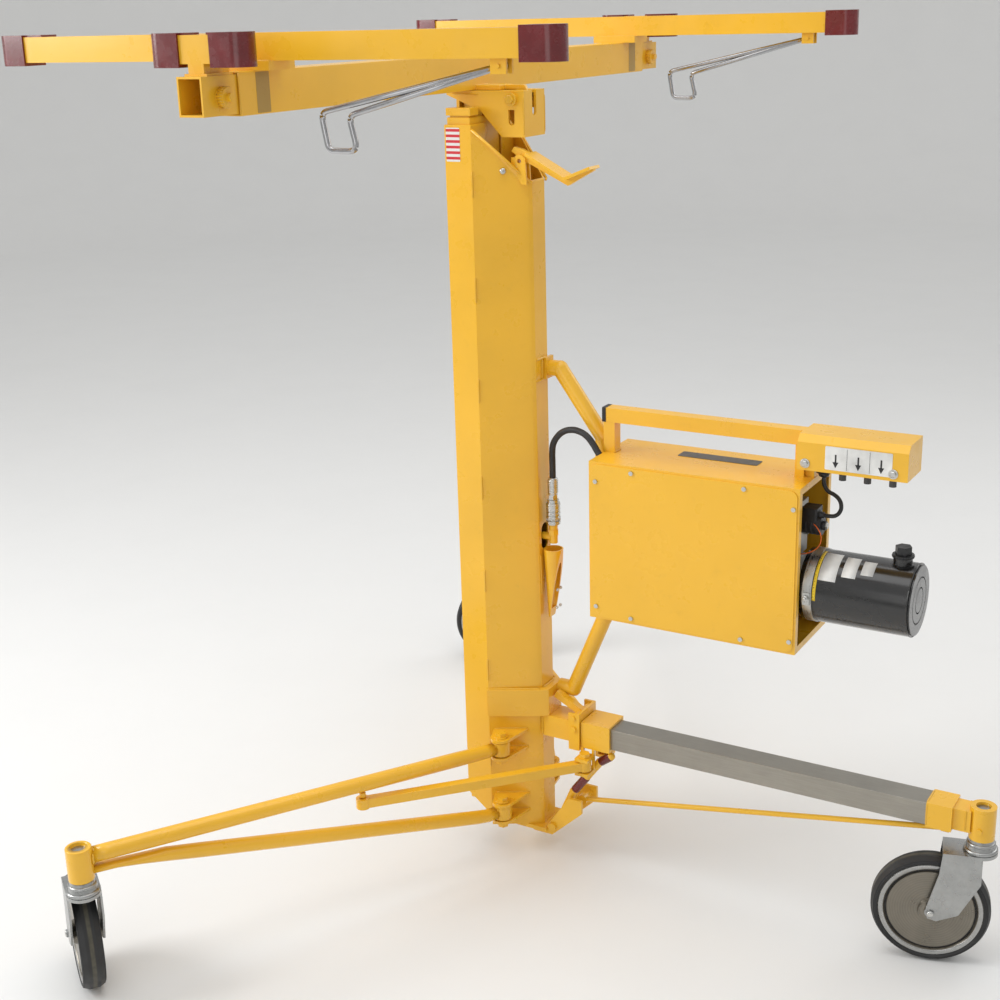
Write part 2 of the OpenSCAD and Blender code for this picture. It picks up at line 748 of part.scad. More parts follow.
// Distance along a leg at angle a at which the link of the sleeve meets it.
function link_reach(a) =
  let (p = sleeve_pin - [hinge_x, -hinge_y], b = p[0] * cos(a) + p[1] * sin(a))
  -b + sqrt(b * b - p * p + link_len * link_len);

module front_leg(a) {
  eye_w = eye_h / 2 - 1;
  tip = on_leg(leg_len, 0, a);
  difference() {
    union() {
      flat_bar(on_leg(40, upper_z, a), on_leg(leg_len - 10, 285, a), eye_h, eye_h);
      flat_bar(on_leg(40, lower_z, a), on_leg(leg_len - 50, 264, a), eye_h - 1, eye_h);
      for (z = [upper_z, lower_z]) {
        translate(on_leg(0, z - eye_h / 2, a)) cylinder(h = eye_h, r = 18);
        translate(on_leg(0, z, a)) rotate(180 + a) box([0, -eye_w, 1 - eye_h / 2],
          [44, eye_w, eye_h / 2 - 1]);
      }
      translate(on_leg(link_reach(a), link_z + link_h / 2 + eye_gap, a)) cylinder(h = 18, r = 6);
      translate([tip[0], tip[1], socket_z]) cylinder(h = socket_h, r = socket_r);
    }
    for (z = [upper_z, lower_z]) translate(on_leg(0, z - 20, a)) cylinder(h = 40,
      r = hinge_pin_r + fit);
    translate([tip[0], tip[1], socket_z - 1]) cylinder(h = socket_h + 2, r = stem_r + fit);
  }
}

module near_leg() color(paint) place() front_leg(near_leg_angle);
module far_leg() color(paint) place() mirror([0, 1, 0]) front_leg(far_leg_angle);

module leg_sleeve() color(paint) place() {
  gap = 0.5;
  yi = rear_tube_w / 2 + gap;
  zi = rear_tube_h / 2 + gap;
  difference() {
    box([sleeve_x, -yi - 6, rear_z - zi - 5], [sleeve_x + sleeve_len, yi + 6, rear_z + zi + 5]);
    box([sleeve_x - 1, -yi, rear_z - zi], [sleeve_x + sleeve_len + 1, yi, rear_z + zi]);
  }
  both_sides() {
    for (z = [link_z + 12, link_z - 18]) box([sleeve_x, -60, z], [sleeve_x + 28, -28, z + 6]);
    translate([sleeve_pin[0], sleeve_pin[1], link_z - 20]) cylinder(h = 40, r = 6);
    translate([sleeve_pin[0], sleeve_pin[1], link_z + 18]) hex_head(11, 8);
    for (x = [0, 24]) box([sleeve_x + x, -34, link_z - 18], [sleeve_x + x + 6 - x / 12, -28,
      rear_z - zi - 4]);
  }
}

module link(angle) {
  a = [sleeve_pin[0], sleeve_pin[1], link_z];
  b = on_leg(link_reach(angle), link_z, angle);
  turn = atan2(b[1] - a[1], b[0] - a[0]);
  difference() {
    union() {
      translate(a) rotate(turn) box([6, -9, 1 - link_h / 2], [link_len - 6, 9, link_h / 2 - 1]);
      for (p = [a, b]) translate(p - [0, 0, link_h / 2]) cylinder(h = link_h, r = 13);
    }
    for (p = [a, b]) translate(p - [0, 0, link_h]) cylinder(h = 2 * link_h, r = 6 + fit);
  }
}

module near_link() color(paint) place() link(near_leg_angle);
module far_link() color(paint) place() mirror([0, 1, 0]) link(far_leg_angle);

// ---- casters: the swivel axis at the origin, the wheel trailing towards +X ----

module caster_at(which) {
  if (which == "rear") translate([rear_socket_x, 0, 0]) rotate(rear_caster_turn) children();
  if (which == "near") translate([near_tip[0], near_tip[1], 0]) rotate(near_caster_turn)
    children();
  if (which == "far") translate([far_tip[0], far_tip[1], 0]) rotate(far_caster_turn)
    children();
}

module caster_fork() {
  crown = 216;
  translate([0, 0, socket_z - 1]) cylinder(h = socket_h - 4, r = stem_r);
  translate([0, 0, crown + 6]) cylinder(h = socket_z - crown - 7, r1 = crown_r - 2, r2 = 20);
  translate([0, 0, crown]) cylinder(h = 6, r = crown_r);
  box([0, -crown_r, crown], [62, crown_r, crown + 6]);
  both_sides() {
    side_plate([[-4, crown + 2], [62, crown + 2], [66, 180], [trail + 8, 112], [trail + 5, 92],
      [trail - 10, 88], [30, 104], [-4, 168]], 25.5, crown_r);
    y_cyl(trail, wheel_r, 22.4, 25.5, 10);
    y_cyl(trail, wheel_r, crown_r, crown_r + 3, 7);
  }
  y_cyl(trail, wheel_r, -crown_r - 1, crown_r + 1, 6);
}

module caster_wheel() translate([trail, 0, wheel_r]) rotate([-90, 0, 0]) rotate_extrude()
  polygon([[6 + fit, -22], [20, -22], [22, -16], [74, -16], [75, -13], [78, -13], [80, -17],
    [rim_r, -18], [rim_r, 18], [80, 17], [78, 13], [75, 13], [74, 16], [22, 16], [20, 22],
    [6 + fit, 22]]);

module caster_tyre() translate([trail, 0, wheel_r]) rotate([-90, 0, 0]) rotate_extrude($fn = 96)
  polygon([[rim_r, -18], [92, -wheel_w / 2], [97, -wheel_w / 2 + 2], [wheel_r, -tread_half],
    [wheel_r, tread_half], [97, wheel_w / 2 - 2], [92, wheel_w / 2], [rim_r, 18]]);

module rear_fork() color(steel) place() caster_at("rear") caster_fork();
module near_fork() color(steel) place() caster_at("near") caster_fork();
module far_fork() color(steel) place() caster_at("far") caster_fork();
module rear_wheel() color("gray") place() caster_at("rear") caster_wheel();
module near_wheel() color("gray") place() caster_at("near") caster_wheel();
module far_wheel() color("gray") place() caster_at("far") caster_wheel();
module rear_tyre() color("#202020") place() caster_at("rear") caster_tyre();
module near_tyre() color("#202020") place() caster_at("near") caster_tyre();
module far_tyre() color("#202020") place() caster_at("far") caster_tyre();

// ---- what is drawn ----

mast_channel();
cylinder_housing();
base_collar();
mast_foot();
leg_hinge_pins();
rear_leg_root();
rear_leg_tube();
rear_leg_end();
tie_rod();
cylinder_barrel();
feed_fitting();
coupler_guard();
quick_coupler();
hydraulic_hose();
case_arms();
case_shell();
front_cover();
cover_screws();
carry_handle();
control_head();
control_cable();
motor();
pump_block();
solenoid_valve();
oil_tank();
filler_cap();
tank_strap();
top_latch();
foot_latch();
middle_section();
cylinder_rod();
lift_sheave();
inner_section();
head_block();
crossbeam();
cross_arms();
arm_caps();
near_outrigger();
near_outrigger_caps();
far_outrigger();
far_outrigger_caps();
near_hook();
far_hook();
near_leg();
far_leg();
leg_sleeve();
near_link();
far_link();
rear_fork();
rear_wheel();
rear_tyre();
near_fork();
near_wheel();
near_tyre();
far_fork();
far_wheel();
far_tyre();
raise_button();
slow_button();
lower_button();
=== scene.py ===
"""Looks of the drywall lift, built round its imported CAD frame.

Places are metres from the mast's axis, with +X towards the rear caster, and at() turns them into
the frame's own coordinates.
"""

import json
import math

import bmesh
import bpy
from mathutils import Matrix, Vector


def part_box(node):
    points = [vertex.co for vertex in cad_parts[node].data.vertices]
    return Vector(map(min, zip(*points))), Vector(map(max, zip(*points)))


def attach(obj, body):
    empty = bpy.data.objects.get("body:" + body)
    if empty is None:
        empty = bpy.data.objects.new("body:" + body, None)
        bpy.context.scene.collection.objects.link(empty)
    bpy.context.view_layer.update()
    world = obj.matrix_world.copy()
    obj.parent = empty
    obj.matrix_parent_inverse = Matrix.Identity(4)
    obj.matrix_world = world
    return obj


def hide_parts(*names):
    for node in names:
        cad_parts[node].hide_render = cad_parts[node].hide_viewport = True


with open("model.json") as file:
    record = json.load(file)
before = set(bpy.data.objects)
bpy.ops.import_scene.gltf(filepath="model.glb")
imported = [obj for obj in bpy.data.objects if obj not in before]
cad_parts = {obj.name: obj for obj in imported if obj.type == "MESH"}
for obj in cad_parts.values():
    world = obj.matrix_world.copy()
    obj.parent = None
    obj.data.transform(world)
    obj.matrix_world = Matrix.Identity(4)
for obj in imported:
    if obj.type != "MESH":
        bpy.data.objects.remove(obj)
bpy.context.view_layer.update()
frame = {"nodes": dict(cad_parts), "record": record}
nodes = frame["nodes"]

mast_lo, mast_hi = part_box("mast_channel")
AXIS = Vector(((mast_lo.x + mast_hi.x) / 2, (mast_lo.y + mast_hi.y) / 2, 0))
MAST_X = (mast_hi.x - mast_lo.x) / 2
MAST_Y = (mast_hi.y - mast_lo.y) / 2
MAST_TOP = mast_hi.z


def at(x, y, z):
    """A point x, y, z from the foot of the mast's axis, in the frame."""
    return AXIS + Vector((x, y, z))


def local_box(node):
    """A node's box, measured from the mast's axis."""
    lo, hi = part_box(node)
    return lo - AXIS, hi - AXIS


# ---- camera ----

YAW = math.radians(-30.745)
PITCH = math.radians(17.999)
ROLL = math.radians(-1.617)


def add_camera():
    forward = Vector((math.sin(YAW) * math.cos(PITCH), math.cos(YAW) * math.cos(PITCH), -math.sin(PITCH)))
    right = Vector((math.cos(YAW), -math.sin(YAW), 0))
    up = right.cross(forward)
    right, up = (
        right * math.cos(ROLL) + up * math.sin(ROLL),
        up * math.cos(ROLL) - right * math.sin(ROLL),
    )
    data = bpy.data.cameras.new("camera")
    data.sensor_width = 36
    data.lens = 54.5
    camera = bpy.data.objects.new("camera", data)
    bpy.context.collection.objects.link(camera)
    turn = Matrix((right, up, -forward)).transposed().to_4x4()
    camera.matrix_world = Matrix.Translation(at(1.4287, -2.3695, 1.6158)) @ turn
    bpy.context.scene.camera = camera


add_camera()

# ---- materials ----


class Nodes:
    """A material's node tree, with short calls for the nodes that this scene uses."""

    def __init__(self, name):
        self.material = bpy.data.materials.new(name)
        self.material.use_nodes = True
        self.tree = self.material.node_tree
        self.shader = self.tree.nodes["Principled BSDF"]

    def link(self, a, b):
        self.tree.links.new(a, b)

    def coordinates(self, scale=(1, 1, 1), turn=(0, 0, 0), move=(0, 0, 0)):
        source = self.tree.nodes.new("ShaderNodeTexCoord")
        mapping = self.tree.nodes.new("ShaderNodeMapping")
        mapping.vector_type = "POINT"
        mapping.inputs["Scale"].default_value = scale
        mapping.inputs["Rotation"].default_value = turn
        mapping.inputs["Location"].default_value = move
        self.link(source.outputs["Object"], mapping.inputs["Vector"])
        return mapping.outputs["Vector"]

    def noise(self, vector, scale, detail=4, roughness=0.55):
        node = self.tree.nodes.new("ShaderNodeTexNoise")
        node.inputs["Scale"].default_value = scale
        node.inputs["Detail"].default_value = detail
        node.inputs["Roughness"].default_value = roughness
        self.link(vector, node.inputs["Vector"])
        return node.outputs["Fac"]

    def ramp(self, value, stops):
        node = self.tree.nodes.new("ShaderNodeValToRGB")
        ramp = node.color_ramp
        while len(ramp.elements) < len(stops):
            ramp.elements.new(0.5)
        for element, (place, colour) in zip(ramp.elements, stops):
            element.position = place
            element.color = (*colour, 1)
        self.link(value, node.inputs["Fac"])
        return node.outputs["Color"]

    def span(self, value, low, high, start=0.3, end=0.7):
        node = self.tree.nodes.new("ShaderNodeMapRange")
        node.inputs["From Min"].default_value = start
        node.inputs["From Max"].default_value = end
        node.inputs["To Min"].default_value = low
        node.inputs["To Max"].default_value = high
        self.link(value, node.inputs["Value"])
        return node.outputs["Result"]

    def bump(self, height, strength, distance, after=None):
        node = self.tree.nodes.new("ShaderNodeBump")
        node.inputs["Strength"].default_value = strength
        node.inputs["Distance"].default_value = distance
        self.link(height, node.inputs["Height"])
        if after is not None:
            self.link(after, node.inputs["Normal"])
        return node.outputs["Normal"]

    def set(self, **values):
        for name, value in values.items():
            socket = self.shader.inputs[name.replace("_", " ")]
            if hasattr(value, "is_linked"):
                self.link(value, socket)
            else:
                socket.default_value = value
        return self.material


def shade(colour, factor):
    return tuple(min(1.0, c * factor) for c in colour)


def painted(name, colour, roughness=0.3, coat=0.35, peel=0.12, marks=0.1, spread=0.1):
    """Sprayed enamel: cloudy colour, orange peel, and faint scuffs."""
    n = Nodes(name)
    v = n.coordinates()
    cloud = n.noise(v, 3.5, 5)
    dust = n.noise(v, 38, 8, 0.7)
    tone = n.ramp(cloud, [(0.3, shade(colour, 1 - spread)), (0.52, colour),
                          (0.72, shade(colour, 1 + spread / 2))])
    mix = n.tree.nodes.new("ShaderNodeMix")
    mix.data_type = "RGBA"
    mix.blend_type = "MULTIPLY"
    n.link(n.span(dust, 0, marks, 0.58, 0.75), mix.inputs["Factor"])
    n.link(tone, mix.inputs["A"])
    mix.inputs["B"].default_value = (0.35, 0.3, 0.25, 1)
    skin = n.bump(n.noise(v, 420, 2), peel, 0.0004)
    wave = n.bump(n.noise(v, 18, 2), 0.12, 0.002, skin)
    return n.set(
        Base_Color=mix.outputs["Result"],
        Roughness=n.span(n.noise(v, 24, 6), roughness - 0.06, roughness + 0.1),
        Normal=wave,
        Coat_Weight=coat,
        Coat_Roughness=0.12,
    )


def metal(name, colour, roughness, stretch=(1, 1, 1), grain=260, lines=0.12, spread=0.12):
    """Bare or plated metal with a drawn grain along its least stretched axis."""
    n = Nodes(name)
    v = n.coordinates(stretch)
    plain = n.coordinates()
    streak = n.noise(v, grain, 5, 0.65)
    cloud = n.noise(plain, 14, 5)
    mix = n.tree.nodes.new("ShaderNodeMix")
    mix.data_type = "RGBA"
    mix.inputs["Factor"].default_value = 0.45
    n.link(n.ramp(cloud, [(0.3, shade(colour, 1 - spread)), (0.7, shade(colour, 1 + spread))]),
           mix.inputs["A"])
    n.link(n.ramp(streak, [(0.35, shade(colour, 0.82)), (0.65, shade(colour, 1.12))]), mix.inputs["B"])
    return n.set(
        Base_Color=mix.outputs["Result"],
        Metallic=1.0,
        Roughness=n.span(streak, roughness - 0.07, roughness + 0.1),
        Normal=n.bump(streak, lines, 0.0003),
    )


def moulded(name, colour, roughness=0.4, fleck=None, grain=500, coat=0.0):
    """Moulded plastic or rubber: fine grain, with flecks where it has them."""
    n = Nodes(name)
    v = n.coordinates()
    cloud = n.noise(v, 20, 5)
    tone = n.ramp(cloud, [(0.3, shade(colour, 0.8)), (0.7, shade(colour, 1.25))])
    if fleck is not None:
        cells = n.tree.nodes.new("ShaderNodeTexVoronoi")
        cells.inputs["Scale"].default_value = 330
        n.link(v, cells.inputs["Vector"])
        mix = n.tree.nodes.new("ShaderNodeMix")
        mix.data_type = "RGBA"
        n.link(n.span(cells.outputs["Distance"], 0.7, 0, 0.12, 0.3), mix.inputs["Factor"])
        n.link(tone, mix.inputs["A"])
        mix.inputs["B"].default_value = (*fleck, 1)
        tone = mix.outputs["Result"]
    return n.set(
        Base_Color=tone,
        Roughness=n.span(n.noise(v, 60, 6), roughness - 0.05, roughness + 0.12),
        Normal=n.bump(n.noise(v, grain, 3), 0.2, 0.0004),
        Coat_Weight=coat,
        Coat_Roughness=0.1,
    )


def turned_disc(name, node, colour, roughness, pitch, metallic=0.75):
    """A wheel centre with fine turned rings about its own axle."""
    lo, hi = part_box(node)
    centre = (lo + hi) / 2
    n = Nodes(name)
    source = n.tree.nodes.new("ShaderNodeTexCoord")
    away = n.tree.nodes.new("ShaderNodeVectorMath")
    away.operation = "DISTANCE"
    n.link(source.outputs["Object"], away.inputs[0])
    away.inputs[1].default_value = centre
    wave = n.tree.nodes.new("ShaderNodeMath")
    wave.operation = "MULTIPLY"
    wave.inputs[1].default_value = 2 * math.pi / pitch
    n.link(away.outputs["Value"], wave.inputs[0])
    sine = n.tree.nodes.new("ShaderNodeMath")
    sine.operation = "SINE"
    n.link(wave.outputs["Value"], sine.inputs[0])
    cloud = n.noise(n.coordinates(), 26, 6)
    mix = n.tree.nodes.new("ShaderNodeMix")
    mix.data_type = "RGBA"
    mix.inputs["Factor"].default_value = 0.45
    n.link(n.ramp(cloud, [(0.3, shade(colour, 0.82)), (0.7, shade(colour, 1.18))]), mix.inputs["A"])
    n.link(n.ramp(n.span(sine.outputs["Value"], 0, 1, -1, 1),
                  [(0, shade(colour, 0.86)), (1, shade(colour, 1.14))]),
           mix.inputs["B"])
    return n.set(
        Base_Color=mix.outputs["Result"],
        Metallic=metallic,
        Roughness=n.span(cloud, roughness - 0.06, roughness + 0.1),
        Normal=n.bump(sine.outputs["Value"], 0.12, 0.0003),
    )


def tread_rubber(name, hub, axle):
    """Tyre rubber with a dusty line round the middle of the tread."""
    n = Nodes(name)
    source = n.tree.nodes.new("ShaderNodeTexCoord")
    away = n.tree.nodes.new("ShaderNodeVectorMath")
    away.operation = "SUBTRACT"
    n.link(source.outputs["Object"], away.inputs[0])
    away.inputs[1].default_value = hub
    across = n.tree.nodes.new("ShaderNodeVectorMath")
    across.operation = "DOT_PRODUCT"
    n.link(away.outputs["Vector"], across.inputs[0])
    across.inputs[1].default_value = axle
    offset = n.tree.nodes.new("ShaderNodeMath")
    offset.operation = "ABSOLUTE"
    n.link(across.outputs["Value"], offset.inputs[0])
    v = n.coordinates()
    band = n.tree.nodes.new("ShaderNodeMix")
    band.data_type = "RGBA"
    n.link(n.span(offset.outputs["Value"], 0.85, 0, 0.0025, 0.0045), band.inputs["Factor"])
    n.link(n.ramp(n.noise(v, 30, 6), [(0.3, (0.010, 0.010, 0.011)), (0.7, (0.024, 0.024, 0.024))]),
           band.inputs["A"])
    n.link(n.ramp(n.noise(v, 80, 6), [(0.3, (0.05, 0.045, 0.03)), (0.7, (0.1, 0.09, 0.06))]),
           band.inputs["B"])
    return n.set(
        Base_Color=band.outputs["Result"],
        Roughness=n.span(n.noise(v, 60, 6), 0.42, 0.66),
        Normal=n.bump(n.noise(v, 260, 4), 0.25, 0.0005),
    )


def striped(name, axis, pitch, first, second, share=0.5, roughness=0.45):
    """A printed film with stripes across one axis, and a little wear."""
    n = Nodes(name)
    v = n.coordinates()
    split = n.tree.nodes.new("ShaderNodeSeparateXYZ")
    n.link(v, split.inputs["Vector"])
    part = n.tree.nodes.new("ShaderNodeMath")
    part.operation = "PINGPONG"
    part.inputs[1].default_value = pitch / 2
    n.link(split.outputs[axis], part.inputs[0])
    bands = n.ramp(n.span(part.outputs["Value"], 0, 1, 0, pitch / 2), [
        (0, first), (share - 0.02, first), (share + 0.02, second), (1, second)])
    return n.set(
        Base_Color=bands,
        Roughness=n.span(n.noise(v, 90, 5), roughness - 0.1, roughness + 0.12),
        Normal=n.bump(n.noise(v, 300, 2), 0.1, 0.0002),
    )


YELLOW = (0.86, 0.475, 0.022)
paint = painted("yellow_enamel", YELLOW)
weld_paint = painted("yellow_over_weld", shade(YELLOW, 0.9), 0.34, 0.3, 0.3, 0.35)
bare = metal("bare_tube", (0.36, 0.34, 0.3), 0.36, (0.05, 1, 1), 420, 0.25)
zinc = metal("zinc_plate", (0.4, 0.405, 0.4), 0.3, grain=90, lines=0.12, spread=0.22)
chrome = metal("bright_plating", (0.45, 0.45, 0.46), 0.14, grain=60, lines=0.05, spread=0.1)
rim_metal = metal("rim_metal", (0.42, 0.42, 0.41), 0.22, grain=120, lines=0.1)
fastener = metal("fastener_plate", (0.6, 0.6, 0.58), 0.3, grain=180)
coupler = metal("coupler_steel", (0.55, 0.55, 0.53), 0.24, (1, 1, 8), 120)
sheet_steel = metal("strap_steel", (0.52, 0.52, 0.5), 0.3, (1, 0.2, 0.2), 320)
cast = metal("cast_block", (0.5, 0.5, 0.49), 0.55, grain=700, lines=0.5)
maroon = moulded("maroon_cap", (0.13, 0.006, 0.008), 0.22, (0.2, 0.02, 0.03), 240, 0.5)
hose_black = moulded("hose_cover", (0.018, 0.018, 0.019), 0.5, grain=900)
jacket = moulded("cable_jacket", (0.015, 0.015, 0.016), 0.38, grain=700)
black_plastic = moulded("black_moulding", (0.014, 0.014, 0.015), 0.35, grain=350)
tyre = moulded("tyre_rubber", (0.017, 0.017, 0.018), 0.58, (0.03, 0.03, 0.03), 260)
tank_paint = painted("tank_gloss_black", (0.005, 0.005, 0.005), 0.24, 0.6, 0.08, 0.05, 0.2)
motor_paint = painted("motor_grey", (0.05, 0.055, 0.06), 0.4, 0.1, 0.2, 0.2, 0.2)
barrel_paint = painted("barrel_grey", (0.03, 0.032, 0.034), 0.35, 0.2, 0.15, 0.15, 0.2)
button_plastic = moulded("button_plastic", (0.05, 0.05, 0.052), 0.4)
orange = moulded("orange_wire", (0.75, 0.13, 0.01), 0.4)
white_film = moulded("white_film", (0.72, 0.72, 0.7), 0.4, grain=200)
grey_film = moulded("grey_film", (0.09, 0.085, 0.075), 0.42, grain=200)
yellow_film = moulded("yellow_film", (0.8, 0.55, 0.02), 0.4, grain=200)
# Black for label print, also used as painted shade in the screw recesses and the wheel rims' grooves.
ink_and_painted_shade = moulded("label_ink_and_painted_shade", (0.02, 0.02, 0.022), 0.45, grain=200)
beam_film = painted("beam_band", (0.42, 0.26, 0.05), 0.45, 0.1, 0.1, 0.2)
red_stripes = striped("red_white_film", "Z", 0.0095, (0.62, 0.02, 0.03), (0.75, 0.75, 0.73))

BY_SLOT = {
    "yellow_paint": paint,
    "bare_steel": bare,
    "zinc": zinc,
    "tyre_black": tyre,
    "chrome_wire": chrome,
    "maroon_cap": maroon,
    "hose_rubber": hose_black,
    "cable_black": jacket,
    "tank_black": tank_paint,
    "cap_black": black_plastic,
    "motor_grey": motor_paint,
    "cast_block": cast,
    "fastener_steel": fastener,
    "coupler_steel": coupler,
    "barrel_paint": barrel_paint,
    "rod_chrome": chrome,
    "button_grey": button_plastic,
}
WHEEL_GREY = (0.22, 0.2, 0.165)
BY_NODE = {"tank_strap": sheet_steel}
joint_places = {j["name"]: Vector(j["pos_m"])
                for j in frame["record"]["behaviour"]["joints"] if "pos_m" in j}
CASTERS = {}
for side in ("rear", "near", "far"):
    lo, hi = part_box(side + "_wheel")
    hub = (lo + hi) / 2
    stem = joint_places[side + "_swivel_turn"].copy()
    stem.z = 0
    away = Vector((hub.x - stem.x, hub.y - stem.y, 0)).normalized()
    CASTERS[side] = (stem, hub, away.cross(Vector((0, 0, 1))))
    BY_NODE[side + "_wheel"] = turned_disc(side + "_turned_disc", side + "_wheel", WHEEL_GREY, 0.3, 0.0042)
    BY_NODE[side + "_tyre"] = tread_rubber(side + "_tread_rubber", hub, CASTERS[side][2])

for part in frame["record"]["subparts"]:
    obj = nodes[part["node"]]
    look = BY_NODE.get(part["node"]) or BY_SLOT[part["material_slot"]]
    obj.data.materials.clear()
    obj.data.materials.append(look)


def soften(obj, width, segments=2, angle=35):
    """Rounds a CAD node's hard edges a little, so that they catch the light."""
    weld = obj.modifiers.new("weld", "WELD")
    weld.merge_threshold = 1e-5
    bevel = obj.modifiers.new("round", "BEVEL")
    bevel.width = width
    bevel.segments = segments
    bevel.limit_method = "ANGLE"
    bevel.angle_limit = math.radians(angle)
    bevel.use_clamp_overlap = True
    smooth = obj.modifiers.new("normals", "WEIGHTED_NORMAL")
    smooth.keep_sharp = False
    for face in obj.data.polygons:
        face.use_smooth = True


# ---- mesh building ----


def new_piece(name, mesh, look, body, smooth=True):
    obj = bpy.data.objects.new(name, mesh)
    bpy.context.collection.objects.link(obj)
    mesh.materials.append(look)
    if smooth:
        for face in mesh.polygons:
            face.use_smooth = True
    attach(obj, body)
    return obj


def as_mesh(name, bm):
    bmesh.ops.recalc_face_normals(bm, faces=bm.faces)
    mesh = bpy.data.meshes.new(name)
    bm.to_mesh(mesh)
    bm.free()
    return mesh


def side_axes(direction):
    """Two unit vectors across a direction."""
    d = direction.normalized()
    other = Vector((0, 0, 1)) if abs(d.z) < 0.9 else Vector((1, 0, 0))
    a = d.cross(other).normalized()
    return a, d.cross(a).normalized()


def add_tube(bm, points, radii, sides=12):
    """A closed skin through points with a radius at each."""
    rings = []
    for i, p in enumerate(points):
        direction = points[min(i + 1, len(points) - 1)] - points[max(i - 1, 0)]
        a, b = side_axes(direction)
        ring = []
        for k in range(sides):
            t = 2 * math.pi * k / sides
            ring.append(bm.verts.new(p + radii[i] * (math.cos(t) * a + math.sin(t) * b)))
        rings.append(ring)
    for low, high in zip(rings, rings[1:]):
        for k in range(sides):
            m = (k + 1) % sides
            bm.faces.new((low[k], low[m], high[m], high[k]))
    bm.faces.new(rings[0])
    bm.faces.new(list(reversed(rings[-1])))


def add_bead(bm, start, end, radius, pitch=0.0035):
    """A weld bead: a round strip whose width ripples along it."""
    length = (end - start).length
    steps = max(6, int(length / pitch) * 2)
    points = [start.lerp(end, i / steps) for i in range(steps + 1)]
    radii = [radius * (0.86 + 0.14 * (i % 2)) * min(1.0, 0.45 + i / 3, 0.45 + (steps - i) / 3)
             for i in range(steps + 1)]
    add_tube(bm, points, radii, 8)


def add_lathe(bm, centre, axis, profile, sides=32, ring=False):
    """Turns a profile of (along, radius) pairs about an axis; a ring joins its ends, with no discs."""
    d = axis.normalized()
    a, b = side_axes(d)
    rings = []
    for along, radius in profile:
        row = [bm.verts.new(centre + along * d + radius * (math.cos(2 * math.pi * k / sides) * a
               + math.sin(2 * math.pi * k / sides) * b)) for k in range(sides)]
        rings.append(row)
    pairs = list(zip(rings, rings[1:]))
    if ring:
        pairs.append((rings[-1], rings[0]))
    for low, high in pairs:
        for k in range(sides):
            m = (k + 1) % sides
            bm.faces.new((low[k], low[m], high[m], high[k]))
    if not ring:
        bm.faces.new(rings[0])
        bm.faces.new(list(reversed(rings[-1])))


def add_slab(bm, centre, across, upward, size, thickness, corner=0.0, steps=4):
    """A thin plate with rounded corners, standing off along across x upward."""
    u, v = across.normalized(), upward.normalized()
    w = u.cross(v)
    half_u, half_v = size[0] / 2 - corner, size[1] / 2 - corner
    outline = []
    for quarter, (su, sv) in enumerate(((1, 1), (-1, 1), (-1, -1), (1, -1))):
        for i in range(steps + 1 if corner else 1):
            t = math.pi / 2 * (quarter + (i / steps if corner else 0))
            outline.append(centre + (su * half_u + corner * math.cos(t)) * u
                           + (sv * half_v + corner * math.sin(t)) * v)
    low = [bm.verts.new(p) for p in outline]
    high = [bm.verts.new(p + thickness * w) for p in outline]
    n = len(outline)
    for k in range(n):
        m = (k + 1) % n
        bm.faces.new((low[k], low[m], high[m], high[k]))
    bm.faces.new(list(reversed(low)))
    bm.faces.new(high)


X, Y, Z = Vector((1, 0, 0)), Vector((0, 1, 0)), Vector((0, 0, 1))
SIDES = (-1, 1)


def bead_piece(name, lines, radius, body="root"):
    bm = bmesh.new()
    for start, end in lines:
        add_bead(bm, at(*start), at(*end), radius)
    return new_piece(name, as_mesh(name, bm), weld_paint, body)


# ---- cords ----


def cord_curve(name, points, diameter, look):
    curve = bpy.data.curves.new(name, "CURVE")
    curve.dimensions = "3D"
    curve.bevel_depth = diameter / 2
    curve.bevel_resolution = 5
    curve.resolution_u = 6
    curve.use_fill_caps = True
    spline = curve.splines.new("BEZIER")
    spline.bezier_points.add(len(points) - 1)
    for point, place in zip(spline.bezier_points, points):
        point.co = place
        point.handle_left_type = point.handle_right_type = "AUTO"
    curve.materials.append(look)
    obj = bpy.data.objects.new(name, curve)
    bpy.context.collection.objects.link(obj)
    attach(obj, "root")
    return obj


HOSE_D = 0.012
HOSE = [at(*p) for p in (
    (0.135, 0, 0.779), (0.135, 0, 0.795), (0.135, 0, 0.811), (0.135, 0, 0.828),
    (0.138, -0.001, 0.846), (0.147, -0.002, 0.861), (0.161, -0.004, 0.873),
    (0.178, -0.006, 0.879), (0.196, -0.009, 0.879), (0.213, -0.012, 0.873),
    (0.227, -0.015, 0.861), (0.238, -0.018, 0.848), (0.248, -0.020, 0.836))]
CABLE_D = 0.007
CABLE = [at(*p) for p in (
    (0.655, 0, 0.852), (0.655, 0, 0.843), (0.658, 0, 0.833), (0.665, -0.001, 0.826),
    (0.675, -0.002, 0.822), (0.684, -0.004, 0.816), (0.689, -0.006, 0.806),
    (0.688, -0.008, 0.796), (0.681, -0.009, 0.788), (0.671, -0.010, 0.786),
    (0.661, -0.010, 0.786), (0.652, -0.010, 0.786))]

hose = cord_curve("hydraulic_hose_cover", HOSE, HOSE_D, hose_black)
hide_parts("hydraulic_hose")
cable = cord_curve("control_cable_jacket", CABLE, CABLE_D, jacket)
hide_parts("control_cable")

# ---- hydraulic fittings ----


